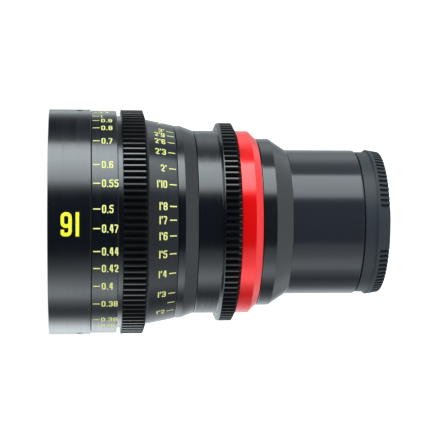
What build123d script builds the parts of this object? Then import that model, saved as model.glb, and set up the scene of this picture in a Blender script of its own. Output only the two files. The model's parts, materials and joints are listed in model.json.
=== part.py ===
from build123d import *
from math import acos, asin, atan, cos, degrees, pi, radians, sin, sqrt, tan
import os

# A cinema prime lens standing on its rear cap, front upwards, in millimetres and degrees.
# Heights run along the optical axis from the cap's end face. Azimuth 0 is +X, 90 is +Y.

# Clearances that every fit uses
running_clearance = 0.05
seat_clearance = 0.03
face_gap = 0.2
cut_overrun = 1.0

# Outer stack, each length along the axis, from the cap upwards
cap_head_length = 4.8
cap_skirt_length = 4.7
cap_gap = 0.5
mount_tube_length = 27.5
rear_cone_length = 6.8
rear_land_length = 4.9
red_ring_gap = 0.4
red_bevel_length = 2.9
red_land_length = 5.3
iris_gear_chamfer = 1.2
iris_teeth_length = 5.0
iris_collar_length = 0.3
iris_collar_bevel = 0.6
iris_sleeve_length = 8.85
index_cone_length = 4.95
index_land_length = 2.65
feet_cone_length = 10.7
focus_shoulder_length = 1.3
focus_teeth_length = 8.3
focus_neck_length = 1.95
metre_land_length = 9.7
front_barrel_length = 15.9

# Main barrel, the fixed tube that carries everything
main_upper_radius = 35.0
main_upper_wall = 1.6
main_lower_step = 1.0
main_lower_wall = 2.0
main_flange_thickness = 2.4
main_top_setback = 9.0

# How far each outer surface stands out from the tube that carries it
front_barrel_wall = 9.0
metre_land_wall = 8.5
focus_neck_wall = 6.5
feet_cone_front_wall = 5.3
feet_cone_rear_wall = 3.2
index_land_wall = 2.95
iris_gear_wall = 6.8
iris_sleeve_wall = 3.7
red_land_wall = 3.7
red_bevel_wall = 1.0
rear_land_wall = 0.7

# Mount tube and rear cap
mount_tube_radius = 28.65
mount_tube_wall = 2.05
cap_head_overhang = 0.2
cap_head_taper = 0.75
cap_skirt_recess = 0.7

# Standard 0.8 module follow-focus gears
gear_module = 0.8
pressure_angle = 20.0
root_clearance = 0.2
gear_edge_break = 0.35

# Movement
focus_throw = 180.0
focus_travel = 3.5
iris_throw = 75.0

# Ledge inside the main barrel that carries the iris
iris_ledge_depth = 1.6
iris_ledge_thickness = 2.5
iris_ledge_drop = 0.1

# Front barrel with its filter thread and stepped light baffle
thread_wall = 3.4
thread_depth = 5.0
thread_chamfer = 0.5
baffle_steps = 4
baffle_depth = 3.0
front_lip_step = 0.3
edge_break = 0.3
set_screw_radius = 1.25
set_screw_length = 3.6
set_screw_angles = (-11.0, -169.5, 90.0)
set_screw_setback = 11.7
set_screw_socket_radius = 0.65
set_screw_socket_depth = 1.4

# Focus ring, its key and the helicoid
ring_land_length = 5.5
focus_relief_depth = 2.0
iris_relief_depth = 1.8
focus_key_width = 6.0
focus_key_height = 6.0
focus_key_angle = -130.0
focus_key_reach = 2.4
focus_key_bite = 0.7
sleeve_radial_wall = 1.9
sleeve_length = 17.0
sleeve_rise = 18.5
thread_starts = 2
ridge_width = 1.1
ridge_height = 0.9
ridge_gap = 0.12
ridge_zone_length = 9.0
land_setback = 1.3
thread_sink = 0.3

# Focus cell and the guide bars that stop it turning
cell_wall = 2.1
cell_pocket_wall = 2.4
cell_front_setback = 2.0
cell_lip = 1.0
cell_web = 2.9
guide_bar_count = 3
guide_bar_width = 4.0
guide_bar_gap = 0.15
guide_bar_reach = 4.5
guide_bar_angle = 20.0
guide_notch_length = 7.0
guide_ring_thickness = 1.8
guide_ring_width = 2.9
guide_screw_radius = 0.6
guide_screw_head_radius = 1.0
guide_screw_length = 3.4

# Front group: rims, centre thicknesses, and curves as shares of the rim that each surface ends at.
# The rims of the inner elements are shares of the front element's.
# A positive curve has its centre behind the surface.
element_1_rim_wall = 2.34
element_1_rim_width = 5.0
element_1_front_curve_share = 2.07
element_1_rear_curve_share = 1.125
element_1_thickness = 3.5
element_2_share = 0.776
element_3_share = 0.586
element_2_front_curve_share = 1.78
element_2_rear_curve_share = 1.18
element_2_thickness = 2.5
element_3_front_curve_share = -3.53
element_3_rear_curve_share = 1.76
element_3_thickness = 2.0
element_4_front_curve_share = 1.65
element_4_rear_curve_share = -2.35
element_4_thickness = 12.0
spacer_width = 1.4
inner_spacer_length = 1.6
retaining_ring_width = 1.7
retaining_ring_length = 2.3

# Rear group
rear_element_margin = 1.6
element_5_front_curve_share = 2.5
element_5_rear_curve_share = -1.5
element_5_thickness = 9.0
cement_gap = 0.03
element_6_rear_curve_share = -6.7
element_6_thickness = 2.0
upper_spacer_length = 3.2
element_7_front_curve_share = 3.75
element_7_rear_curve_share = -2.9
element_7_thickness = 6.0
lower_spacer_length = 0.8
element_8_front_curve_share = -2.5
element_8_rear_curve_share = -5.0
element_8_thickness = 2.5
rear_cell_flange = 2.0
rear_cell_wall = 2.2
rear_cell_lip = 1.3

# Iris, its radii as shares of the cam ring's
blade_count = 9
blade_thickness = 0.15
blade_pitch = 0.3
blade_outer_share = 0.653
blade_open_share = 0.374
blade_closed_share = 0.042
blade_span_angle = 112.0
blade_tail_angle = 1.5
pivot_share = 0.731
blade_pin_radius = 0.5
cam_pin_angle = 20.0
ear_width = 2.6
slot_gap = 0.1
iris_plate_thickness = 2.0
iris_wall = 2.0
iris_opening_step = 0.2
cam_ring_thickness = 2.2
cam_ring_bore_share = 0.441
cam_ring_gap = 0.3
iris_cover_thickness = 1.0
drive_pin_radius = 0.6
drive_pin_angle = 200.0
drive_pin_bite = 1.6
window_margin = 1.2
iris_screw_count = 3
iris_screw_radius = 0.5
iris_screw_head_radius = 0.8
iris_screw_head_length = 0.5
iris_screw_angle = 102.0

# Rear barrel, mount tube and camera bayonet
spigot_length = 5.4
rear_spigot_wall = 1.85
mount_spigot_wall = 1.75
mount_spigot_length = 4.5
mount_tube_chamfer = 0.5
tube_end_setback = 0.3
flange_recess_wall = 1.02
flange_thickness = 1.2
mount_seat_thickness = 2.5
bayonet_collar_wall = 1.3
bayonet_collar_length = 5.0
bayonet_tab_reach = 1.05
bayonet_tab_thickness = 1.3
bayonet_tab_drop = 2.8
bayonet_tab_span_angle = 50.0
bayonet_tab_count = 3
bayonet_tab_angle = -90.0
mount_screw_count = 4
mount_screw_inset = 2.7
mount_screw_radius = 0.8
mount_screw_head_radius = 1.5
mount_screw_land = 1.5
mount_screw_length = 3.2
mount_screw_angle = 45.0
baffle_plate_thickness = 1.4
baffle_plate_setback = 0.4
baffle_step = 0.6
baffle_side_wall = 5.1
baffle_top_wall = 9.6
baffle_corner_radius = 3.0

# Rear cap
cap_pocket_wall = 3.55
cap_floor = 1.8
cap_rim_width = 2.1
cap_edge_fillet = 0.8
cap_lug_clearance = 0.3
cap_lug_thickness = 1.3
cap_lug_angle = 40.0
cap_lug_setback = 1.0
rib_pitch_angle = 4.2
rib_groove_width = 0.95
rib_groove_depth = 0.45
rib_length = 3.7
rib_arc_count = 3
ribs_per_arc = 21
rib_arc_angle = -77.4

# Heights worked out from the stack
cap_skirt_base = cap_head_length
flange_height = cap_head_length + cap_skirt_length + cap_gap
tube_base = flange_height + tube_end_setback
rear_cone_base = flange_height + mount_tube_length
rear_land_base = rear_cone_base + rear_cone_length
rear_land_top = rear_land_base + rear_land_length
red_base = rear_land_top + red_ring_gap
red_land_base = red_base + red_bevel_length
red_top = red_land_base + red_land_length
iris_base = red_top + face_gap
iris_teeth_top = iris_base + iris_gear_chamfer + iris_teeth_length
iris_collar_top = iris_teeth_top + iris_collar_length
iris_sleeve_base = iris_collar_top + iris_collar_bevel
iris_top = iris_sleeve_base + iris_sleeve_length
index_base = iris_top + face_gap
index_land_base = index_base + index_cone_length
index_top = index_land_base + index_land_length
focus_base = index_top + face_gap
shoulder_base = focus_base + feet_cone_length
focus_teeth_base = shoulder_base + focus_shoulder_length
neck_base = focus_teeth_base + focus_teeth_length
metre_land_base = neck_base + focus_neck_length
focus_top = metre_land_base + metre_land_length
front_base = focus_top + face_gap
lens_top = front_base + front_barrel_length

# Radii worked out from the sizes above
main_upper_bore = main_upper_radius - main_upper_wall
main_lower_radius = main_upper_bore - main_lower_step
main_lower_bore = main_lower_radius - main_lower_wall
front_barrel_radius = main_upper_radius + front_barrel_wall
thread_radius = front_barrel_radius - thread_wall
front_lip_radius = main_upper_bore + front_lip_step
metre_land_radius = main_upper_radius + metre_land_wall
focus_neck_radius = main_upper_radius + focus_neck_wall
feet_cone_front_radius = main_upper_radius + feet_cone_front_wall
feet_cone_rear_radius = main_upper_radius + feet_cone_rear_wall
focus_relief_radius = main_upper_radius + focus_relief_depth
index_land_radius = main_upper_radius + index_land_wall
iris_sleeve_radius = main_lower_radius + iris_sleeve_wall
iris_relief_radius = main_lower_radius + iris_relief_depth
red_land_radius = main_lower_radius + red_land_wall
red_bevel_radius = main_lower_radius + red_bevel_wall
rear_land_radius = main_lower_radius + rear_land_wall
flange_radius = mount_tube_radius - flange_recess_wall - seat_clearance
mount_screw_circle = flange_radius - mount_screw_inset
bayonet_collar_radius = mount_screw_circle - mount_screw_head_radius - mount_screw_land
bayonet_bore = bayonet_collar_radius - bayonet_collar_wall
bayonet_tab_radius = bayonet_collar_radius + bayonet_tab_reach
baffle_opening_width = 2 * (bayonet_bore - baffle_side_wall)
baffle_opening_height = 2 * (bayonet_bore - baffle_top_wall)
cap_head_radius = mount_tube_radius + cap_head_overhang
cap_end_radius = cap_head_radius - cap_head_taper
cap_skirt_radius = mount_tube_radius - cap_skirt_recess
cap_pocket_radius = cap_skirt_radius - cap_pocket_wall
cap_lug_inner_radius = bayonet_collar_radius + cap_lug_clearance

# Whole teeth that bring each gear's tips to the radius wanted, and the tip radii that they give
focus_teeth = round(2 * front_barrel_radius / gear_module) - 2
iris_teeth = round(2 * (main_lower_radius + iris_gear_wall) / gear_module) - 2
focus_tip_radius = gear_module * (focus_teeth + 2) / 2
iris_tip_radius = gear_module * (iris_teeth + 2) / 2

# Sliding and turning surfaces
focus_bore = main_upper_radius + running_clearance
iris_bore = main_lower_radius + running_clearance
sleeve_radius = main_upper_bore - running_clearance
sleeve_bore = sleeve_radius - sleeve_radial_wall
cell_radius = sleeve_bore - running_clearance - seat_clearance
cell_seat_radius = cell_radius - element_1_rim_wall
element_1_radius = cell_seat_radius - seat_clearance
element_1_clear_radius = element_1_radius - element_1_rim_width
element_2_radius = element_2_share * element_1_radius
element_3_radius = element_3_share * element_1_radius
element_2_clear_radius = element_3_radius

# Iris and rear group radii, inwards from the main barrel
housing_radius = main_lower_bore - seat_clearance
housing_bore = housing_radius - iris_wall
cam_ring_radius = housing_bore - running_clearance
cam_ring_bore = cam_ring_bore_share * cam_ring_radius
pivot_radius = pivot_share * cam_ring_radius
blade_outer_radius = blade_outer_share * cam_ring_radius
blade_open_radius = blade_open_share * cam_ring_radius
blade_closed_radius = blade_closed_share * cam_ring_radius
iris_opening_radius = blade_open_radius - iris_opening_step
rear_element_radius = iris_opening_radius + rear_element_margin

# Curves of the glass surfaces
element_1_front_curve = element_1_front_curve_share * element_1_radius
element_1_rear_curve = element_1_rear_curve_share * element_1_clear_radius
element_2_front_curve = element_2_front_curve_share * element_2_radius
element_2_rear_curve = element_2_rear_curve_share * element_2_clear_radius
element_3_front_curve = element_3_front_curve_share * element_3_radius
element_3_rear_curve = element_3_rear_curve_share * element_3_radius
element_4_front_curve = element_4_front_curve_share * element_3_radius
element_4_rear_curve = element_4_rear_curve_share * element_3_radius
element_5_front_curve = element_5_front_curve_share * rear_element_radius
element_5_rear_curve = element_5_rear_curve_share * rear_element_radius
element_6_rear_curve = element_6_rear_curve_share * rear_element_radius
element_7_front_curve = element_7_front_curve_share * rear_element_radius
element_7_rear_curve = element_7_rear_curve_share * rear_element_radius
element_8_front_curve = element_8_front_curve_share * rear_element_radius
element_8_rear_curve = element_8_rear_curve_share * rear_element_radius
main_top = lens_top - main_top_setback
thread_base = lens_top - thread_depth
baffle_base = thread_base - baffle_depth
flange_ring_top = index_base + main_flange_thickness
iris_ledge_height = iris_base - iris_ledge_drop


def sag(curve, radius):
    """How far a spherical surface falls away from its vertex at a radius."""
    depth = abs(curve) - sqrt(curve**2 - radius**2)
    return depth if curve > 0 else -depth


def bulge(curve, radius, width):
    """How much a convex surface stands up between its rim and a circle inside the rim."""
    return sag(abs(curve), radius) - sag(abs(curve), radius - width)


def axial_plane(azimuth):
    """The half-plane through the optical axis at an azimuth, with local axes radius and height."""
    turn = radians(azimuth)
    return Plane(origin=(0, 0, 0), x_dir=(cos(turn), sin(turn), 0), z_dir=(sin(turn), -cos(turn), 0))


def level_plane(height, azimuth=0):
    """A plane across the optical axis, with its local X at an azimuth."""
    turn = radians(azimuth)
    return Plane(origin=(0, 0, height), x_dir=(cos(turn), sin(turn), 0), z_dir=(0, 0, 1))


def radial_plane(height, azimuth, radius=0):
    """A plane square to a radius, with its local X around the optical axis and its local Y along it."""
    turn = radians(azimuth)
    centre = (radius * cos(turn), radius * sin(turn), height)
    return Plane(origin=centre, x_dir=(-sin(turn), cos(turn), 0), z_dir=(cos(turn), sin(turn), 0))


def outline(*points):
    """A closed outline of (radius, height) points, to revolve about the optical axis."""
    with BuildSketch(Plane.XZ) as section:
        with BuildLine():
            Polyline(*points, close=True)
        make_face()
    return section.sketch


def ring_section(inner, outer, low, high, azimuth=0):
    """A rectangle between two radii and two heights, on the half-plane at an azimuth."""
    with BuildSketch(axial_plane(azimuth)) as section:
        with Locations(((inner + outer) / 2, (low + high) / 2)):
            Rectangle(outer - inner, high - low)
    return section.sketch


def element_section(radius, clear_radius, vertex, front_curve, rear_curve, thickness):
    """Half of a lens element: front surface, cylindrical edge, flat rim and rear surface."""
    rear_vertex = vertex - thickness
    front_edge = vertex - sag(front_curve, radius)
    rear_edge = rear_vertex - sag(rear_curve, clear_radius)
    with BuildSketch(Plane.XZ) as section:
        with BuildLine():
            front_middle = (radius / 2, vertex - sag(front_curve, radius / 2))
            rear_middle = (clear_radius / 2, rear_vertex - sag(rear_curve, clear_radius / 2))
            ThreePointArc((0, vertex), front_middle, (radius, front_edge))
            Line((radius, front_edge), (radius, rear_edge))
            if clear_radius < radius:
                Line((radius, rear_edge), (clear_radius, rear_edge))
            ThreePointArc((clear_radius, rear_edge), rear_middle, (0, rear_vertex))
            Line((0, rear_vertex), (0, vertex))
        make_face()
    return section.sketch


def spacer_section(radius, low, high, low_rise=0, high_drop=0):
    """A spacer whose faces are coned to clear convex glass below or above it."""
    inner = radius - spacer_width
    bottom = low + (seat_clearance if low_rise else 0)
    top = high - (seat_clearance if high_drop else 0)
    return outline((radius, bottom), (radius, top), (inner, top - high_drop), (inner, bottom + low_rise))


def tooth_gaps(height, teeth):
    """The trapezoid gaps between the teeth of a gear ring, on a level plane."""
    pitch_radius = gear_module * teeth / 2
    root_radius = pitch_radius - gear_module - root_clearance
    tip_reach = pitch_radius + gear_module + cut_overrun - root_radius
    slope = tan(radians(pressure_angle))
    half_gap = pi * gear_module / 4
    root_half = half_gap - (gear_module + root_clearance) * slope
    tip_half = root_half + tip_reach * slope
    with BuildSketch(Plane.XY.offset(height)) as gaps:
        with PolarLocations(root_radius, teeth):
            gap = ((0, -root_half), (tip_reach, -tip_half), (tip_reach, tip_half), (0, root_half))
            Polygon(*gap, align=None)
    return gaps.sketch


# Rear cap: a moulded cup with a ribbed head, a plain skirt and three inner lugs
with BuildPart() as rear_cap:
    revolve(
        outline(
            (0, 0),
            (cap_end_radius, 0),
            (cap_head_radius, cap_skirt_base),
            (cap_skirt_radius, cap_skirt_base),
            (cap_skirt_radius, flange_height - cap_gap),
            (cap_pocket_radius + cap_rim_width, flange_height - cap_gap),
            (cap_pocket_radius + cap_rim_width, flange_height),
            (cap_pocket_radius, flange_height),
            (cap_pocket_radius, cap_floor),
            (0, cap_floor),
        ),
        Axis.Z,
    )
    fillet(rear_cap.edges().group_by(Axis.Z)[0].filter_by(GeomType.CIRCLE), cap_edge_fillet)
    lug_turn = bayonet_tab_angle + 180 / bayonet_tab_count - cap_lug_angle / 2
    lug_top = flange_height - cap_lug_setback
    for lug in range(bayonet_tab_count):
        lug_section = ring_section(
            cap_lug_inner_radius,
            cap_pocket_radius + seat_clearance,
            lug_top - cap_lug_thickness,
            lug_top,
            lug_turn + lug * 360 / bayonet_tab_count,
        )
        revolve(lug_section, Axis.Z, cap_lug_angle)
    with BuildSketch(Plane.XY):
        for rib_arc in range(rib_arc_count):
            first_rib = rib_arc_angle + rib_arc * 360 / rib_arc_count
            rib_range = rib_pitch_angle * (ribs_per_arc - 1)
            with PolarLocations(cap_head_radius, ribs_per_arc, first_rib, rib_range, endpoint=True):
                Rectangle(2 * rib_groove_depth + cap_head_radius - cap_end_radius, rib_groove_width)
    extrude(amount=rib_length, mode=Mode.SUBTRACT)

# Camera bayonet: flange plate, collar and three tabs, turned from brass and plated
collar_base = flange_height - bayonet_collar_length
collar_step = collar_base + baffle_plate_setback + baffle_plate_thickness
with BuildPart() as mount_bayonet:
    revolve(
        outline(
            (bayonet_bore - baffle_step, flange_height + flange_thickness),
            (flange_radius, flange_height + flange_thickness),
            (flange_radius, flange_height),
            (bayonet_collar_radius, flange_height),
            (bayonet_collar_radius, collar_base),
            (bayonet_bore, collar_base),
            (bayonet_bore, collar_step),
            (bayonet_bore - baffle_step, collar_step),
        ),
        Axis.Z,
    )
    tab_top = flange_height - bayonet_tab_drop
    for tab in range(bayonet_tab_count):
        tab_section = ring_section(
            bayonet_collar_radius - seat_clearance,
            bayonet_tab_radius,
            tab_top - bayonet_tab_thickness,
            tab_top,
            bayonet_tab_angle - bayonet_tab_span_angle / 2 + tab * 360 / bayonet_tab_count,
        )
        revolve(tab_section, Axis.Z, bayonet_tab_span_angle)
    with Locations(Plane(origin=(0, 0, flange_height), x_dir=(1, 0, 0), z_dir=(0, 0, -1))):
        with PolarLocations(mount_screw_circle, mount_screw_count, mount_screw_angle):
            CounterSinkHole(
                mount_screw_radius + seat_clearance,
                mount_screw_head_radius + seat_clearance,
                depth=flange_thickness + cut_overrun,
                counter_sink_angle=90,
            )

# Moulded light baffle with a frame-shaped opening, set in the bayonet's collar
with BuildPart() as mount_baffle:
    with BuildSketch(Plane.XY.offset(collar_base + baffle_plate_setback)):
        Circle(bayonet_bore - seat_clearance)
        opening_size = (baffle_opening_height, baffle_opening_width)
        RectangleRounded(*opening_size, baffle_corner_radius, mode=Mode.SUBTRACT)
    extrude(amount=baffle_plate_thickness)

# Mount tube: the long plain tube that sets the lens off from the camera
tube_bore = mount_tube_radius - mount_tube_wall
seat_base = flange_height + flange_thickness
seat_top = seat_base + mount_seat_thickness
with BuildPart() as mount_tube:
    revolve(
        outline(
            (flange_radius + seat_clearance, tube_base),
            (mount_tube_radius - mount_tube_chamfer, tube_base),
            (mount_tube_radius, tube_base + mount_tube_chamfer),
            (mount_tube_radius, rear_cone_base),
            (tube_bore, rear_cone_base),
            (tube_bore, seat_top),
            (bayonet_bore + baffle_step, seat_top),
            (bayonet_bore + baffle_step, seat_base),
            (flange_radius + seat_clearance, seat_base),
        ),
        Axis.Z,
    )
    with BuildSketch(Plane.XY.offset(seat_base)):
        with PolarLocations(mount_screw_circle, mount_screw_count, mount_screw_angle):
            Circle(mount_screw_radius + seat_clearance)
    extrude(amount=mount_seat_thickness, mode=Mode.SUBTRACT)

# Rear barrel: black land and cone, with a spigot up into the main barrel and one down into the tube
rear_spigot_radius = main_lower_bore - seat_clearance
rear_spigot_bore = rear_spigot_radius - rear_spigot_wall
mount_spigot_radius = tube_bore - seat_clearance
mount_spigot_bore = mount_spigot_radius - mount_spigot_wall
with BuildPart() as rear_barrel:
    revolve(
        outline(
            (mount_spigot_bore, rear_cone_base - mount_spigot_length),
            (mount_spigot_radius, rear_cone_base - mount_spigot_length),
            (mount_spigot_radius, rear_cone_base),
            (mount_tube_radius, rear_cone_base),
            (rear_land_radius, rear_land_base),
            (rear_land_radius, rear_land_top - edge_break),
            (rear_land_radius - edge_break, rear_land_top),
            (rear_spigot_radius, rear_land_top),
            (rear_spigot_radius, rear_land_top + spigot_length),
            (rear_spigot_bore, rear_land_top + spigot_length),
            (rear_spigot_bore, rear_land_base),
            (mount_spigot_bore, rear_cone_base),
        ),
        Axis.Z,
    )

# Red accent ring
with BuildPart() as red_ring:
    revolve(
        outline(
            (main_lower_radius + seat_clearance, red_base),
            (red_bevel_radius, red_base),
            (red_land_radius, red_land_base),
            (red_land_radius, red_top),
            (main_lower_radius + seat_clearance, red_top),
        ),
        Axis.Z,
    )

# Main barrel: stepped tube with a ledge for the iris, and windows for the focus key and iris pin
key_height = index_top + sleeve_rise
pin_height = (
    iris_ledge_height
    + iris_ledge_thickness
    + iris_plate_thickness
    + blade_count * blade_pitch
    + cam_ring_thickness / 2
    + face_gap
)
key_half_angle = degrees(asin((focus_key_width / 2 + window_margin) / main_upper_bore))
pin_half_angle = degrees(asin((drive_pin_radius + window_margin) / main_lower_bore))
with BuildPart() as main_barrel:
    revolve(
        outline(
            (main_lower_bore, rear_land_top),
            (main_lower_radius, rear_land_top),
            (main_lower_radius, index_base),
            (main_upper_radius, index_base),
            (main_upper_radius, main_top),
            (main_upper_bore, main_top),
            (main_upper_bore, flange_ring_top),
            (main_lower_bore, flange_ring_top),
            (main_lower_bore, iris_ledge_height + iris_ledge_thickness),
            (main_lower_bore - iris_ledge_depth, iris_ledge_height + iris_ledge_thickness),
            (main_lower_bore - iris_ledge_depth, iris_ledge_height),
            (main_lower_bore, iris_ledge_height),
        ),
        Axis.Z,
    )
    key_window = ring_section(
        main_upper_bore - cut_overrun,
        main_upper_radius + cut_overrun,
        key_height - focus_key_height / 2 - window_margin,
        key_height + focus_key_height / 2 + window_margin,
        focus_key_angle - key_half_angle,
    )
    revolve(key_window, Axis.Z, focus_throw + 2 * key_half_angle, mode=Mode.SUBTRACT)
    pin_window = ring_section(
        main_lower_bore - cut_overrun,
        main_lower_radius + cut_overrun,
        pin_height - drive_pin_radius - window_margin,
        pin_height + drive_pin_radius + window_margin,
        drive_pin_angle - iris_throw - pin_half_angle,
    )
    revolve(pin_window, Axis.Z, iris_throw + 2 * pin_half_angle, mode=Mode.SUBTRACT)
    with BuildSketch(Plane.XY.offset(flange_ring_top)):
        with PolarLocations(
            sleeve_radius - guide_ring_width / 2, guide_bar_count, guide_bar_angle + 180 / guide_bar_count
        ):
            Circle(guide_screw_radius + seat_clearance)
    extrude(amount=guide_ring_thickness - guide_screw_length - seat_clearance, mode=Mode.SUBTRACT)

# Iris ring: plain sleeve with a gear ring, relieved inside between two bearing lands
with BuildPart() as iris_ring:
    revolve(
        outline(
            (iris_bore, iris_base),
            (iris_tip_radius - 2 * iris_gear_chamfer, iris_base),
            (iris_tip_radius, iris_base + iris_gear_chamfer),
            (iris_tip_radius, iris_collar_top),
            (iris_tip_radius - iris_collar_bevel, iris_sleeve_base),
            (iris_sleeve_radius, iris_sleeve_base),
            (iris_sleeve_radius, iris_top),
            (iris_bore, iris_top),
            (iris_bore, iris_top - ring_land_length / 2),
            (iris_relief_radius, iris_top - ring_land_length / 2),
            (iris_relief_radius, iris_base + ring_land_length / 2),
            (iris_bore, iris_base + ring_land_length / 2),
        ),
        Axis.Z,
    )
    extrude(
        tooth_gaps(iris_base - cut_overrun, iris_teeth),
        amount=iris_gear_chamfer + iris_teeth_length + cut_overrun,
        mode=Mode.SUBTRACT,
    )
    with BuildSketch(radial_plane(pin_height, drive_pin_angle)):
        Circle(drive_pin_radius + seat_clearance)
    extrude(amount=iris_relief_radius + drive_pin_bite / 2, mode=Mode.SUBTRACT)

# Index ring: fixed ring with a land and a bevel between the focus and iris rings
with BuildPart() as index_ring:
    revolve(
        outline(
            (main_upper_radius + seat_clearance, index_base),
            (iris_sleeve_radius, index_base),
            (index_land_radius, index_land_base),
            (index_land_radius, index_top),
            (main_upper_radius + seat_clearance, index_top),
        ),
        Axis.Z,
    )

# Focus ring: feet cone, gear, neck and metre land in one turned piece
with BuildPart() as focus_ring:
    revolve(
        outline(
            (focus_bore, focus_base),
            (feet_cone_rear_radius, focus_base),
            (feet_cone_front_radius, shoulder_base),
            (focus_tip_radius, focus_teeth_base),
            (focus_tip_radius, neck_base - gear_edge_break),
            (focus_tip_radius - gear_edge_break, neck_base),
            (focus_neck_radius, neck_base),
            (focus_neck_radius, metre_land_base),
            (metre_land_radius - gear_edge_break, metre_land_base),
            (metre_land_radius, metre_land_base + gear_edge_break),
            (metre_land_radius, focus_top),
            (focus_bore, focus_top),
            (focus_bore, focus_top - ring_land_length),
            (focus_relief_radius, focus_top - ring_land_length),
            (focus_relief_radius, focus_base + ring_land_length),
            (focus_bore, focus_base + ring_land_length),
        ),
        Axis.Z,
    )
    extrude(
        tooth_gaps(shoulder_base - cut_overrun, focus_teeth),
        amount=cut_overrun + focus_shoulder_length + focus_teeth_length,
        mode=Mode.SUBTRACT,
    )
    with BuildSketch(radial_plane(key_height, focus_key_angle)):
        Rectangle(focus_key_width + 2 * seat_clearance, focus_key_height + 2 * seat_clearance)
    extrude(amount=focus_relief_radius + focus_key_reach, mode=Mode.SUBTRACT)

# Key that carries the focus ring's turn through the main barrel's window to the helicoid sleeve
with BuildPart() as focus_drive_key:
    key_foot = sleeve_radius - focus_key_bite
    with BuildSketch(radial_plane(key_height, focus_key_angle, key_foot)):
        Rectangle(focus_key_width, focus_key_height)
    extrude(amount=focus_relief_radius + focus_key_reach - seat_clearance - key_foot)

# Helicoid: a left-hand two-start square thread. Lands inside the sleeve run between ridges on the cell.
thread_lead = focus_travel * 360 / focus_throw
thread_pitch = thread_lead / thread_starts
sleeve_base = key_height - sleeve_length / 2
land_base = sleeve_base + land_setback
land_rise = sleeve_length - 2 * land_setback - (thread_starts - 1) * thread_pitch
ridge_base = land_base + thread_pitch / 2
groove_radius = cell_radius + ridge_height + ridge_gap
land_width = thread_pitch - ridge_width - 2 * ridge_gap


def thread_form(path, inner_reach, outer_reach, width):
    """The rectangular section of one thread start, square to the helix at its lower end."""
    with BuildSketch(Plane(origin=path @ 0, x_dir=(1, 0, 0), z_dir=path % 0)) as form:
        with Locations(((outer_reach - inner_reach) / 2, 0)):
            Rectangle(outer_reach + inner_reach, width)
    return form.sketch


with BuildPart() as helicoid_sleeve:
    revolve(ring_section(groove_radius, sleeve_radius, sleeve_base, sleeve_base + sleeve_length), Axis.Z)
    for start in range(thread_starts):
        land_foot = (0, 0, land_base + start * thread_pitch)
        with BuildLine() as land_path:
            Helix(thread_lead, land_rise, sleeve_bore, center=land_foot, lefthand=True)
        land_form = thread_form(land_path.line, 0, groove_radius - sleeve_bore + thread_sink, land_width)
        sweep(land_form, path=land_path.line, is_frenet=True)
    with BuildSketch(radial_plane(key_height, focus_key_angle, key_foot - seat_clearance)):
        Rectangle(focus_key_width + 2 * seat_clearance, focus_key_height + 2 * seat_clearance)
    extrude(amount=focus_key_bite + cut_overrun, mode=Mode.SUBTRACT)

# Focus cell: the sliding cup that holds the front group, cut away where the guide bars run
cell_front = main_top - cell_front_setback
element_1_vertex = cell_front - retaining_ring_length + sag(element_1_front_curve, element_1_radius)
seat_1 = element_1_vertex - element_1_thickness - sag(element_1_rear_curve, element_1_clear_radius)
seat_2 = seat_1 - cell_web - cell_web - cell_lip
lip_base = seat_2 - cell_lip
element_2_vertex = seat_2 + sag(element_2_rear_curve, element_2_clear_radius) + element_2_thickness
element_3_vertex = lip_base + sag(element_3_front_curve, element_3_radius)
spacer_top = element_3_vertex - element_3_thickness - sag(element_3_rear_curve, element_3_radius)
element_4_edge = spacer_top - inner_spacer_length
element_4_vertex = element_4_edge + sag(element_4_front_curve, element_3_radius)
element_4_rim = element_4_vertex - element_4_thickness - sag(element_4_rear_curve, element_3_radius)
cell_rear = element_4_rim - retaining_ring_length - cell_lip
cell_mouth_base = ridge_base - guide_notch_length
pocket_top = seat_1 - cell_web
inner_seat_radius = element_3_radius + seat_clearance
middle_seat_radius = element_2_radius + seat_clearance
pocket_inner_radius = middle_seat_radius + cell_pocket_wall
pocket_outer_radius = cell_radius - cell_wall

with BuildPart() as focus_cell:
    revolve(
        outline(
            (inner_seat_radius, cell_rear),
            (inner_seat_radius + cell_wall, cell_rear),
            (inner_seat_radius + cell_wall, seat_2 - cell_web),
            (pocket_inner_radius, seat_2 - cell_web),
            (pocket_inner_radius, pocket_top),
            (pocket_outer_radius, pocket_top),
            (pocket_outer_radius, cell_mouth_base),
            (cell_radius, cell_mouth_base),
            (cell_radius, cell_front),
            (cell_seat_radius, cell_front),
            (cell_seat_radius, seat_1),
            (middle_seat_radius, seat_1),
            (middle_seat_radius, seat_2),
            (inner_seat_radius - cell_lip, seat_2),
            (inner_seat_radius - cell_lip, lip_base),
            (inner_seat_radius, lip_base),
        ),
        Axis.Z,
    )
    for start in range(thread_starts):
        ridge_foot = (0, 0, ridge_base + start * thread_pitch)
        with BuildLine() as ridge_path:
            Helix(thread_lead, ridge_zone_length, cell_radius, center=ridge_foot, lefthand=True)
        ridge_form = thread_form(ridge_path.line, thread_sink, ridge_height, ridge_width)
        sweep(ridge_form, path=ridge_path.line, is_frenet=True)
    with PolarLocations(0, guide_bar_count, guide_bar_angle):
        with Locations((cell_radius, 0, cell_mouth_base)):
            Box(
                2 * (cell_radius - pocket_outer_radius + ridge_height + cut_overrun),
                guide_bar_width + 2 * guide_bar_gap,
                2 * guide_notch_length - 2 * cut_overrun,
                mode=Mode.SUBTRACT,
            )

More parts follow.
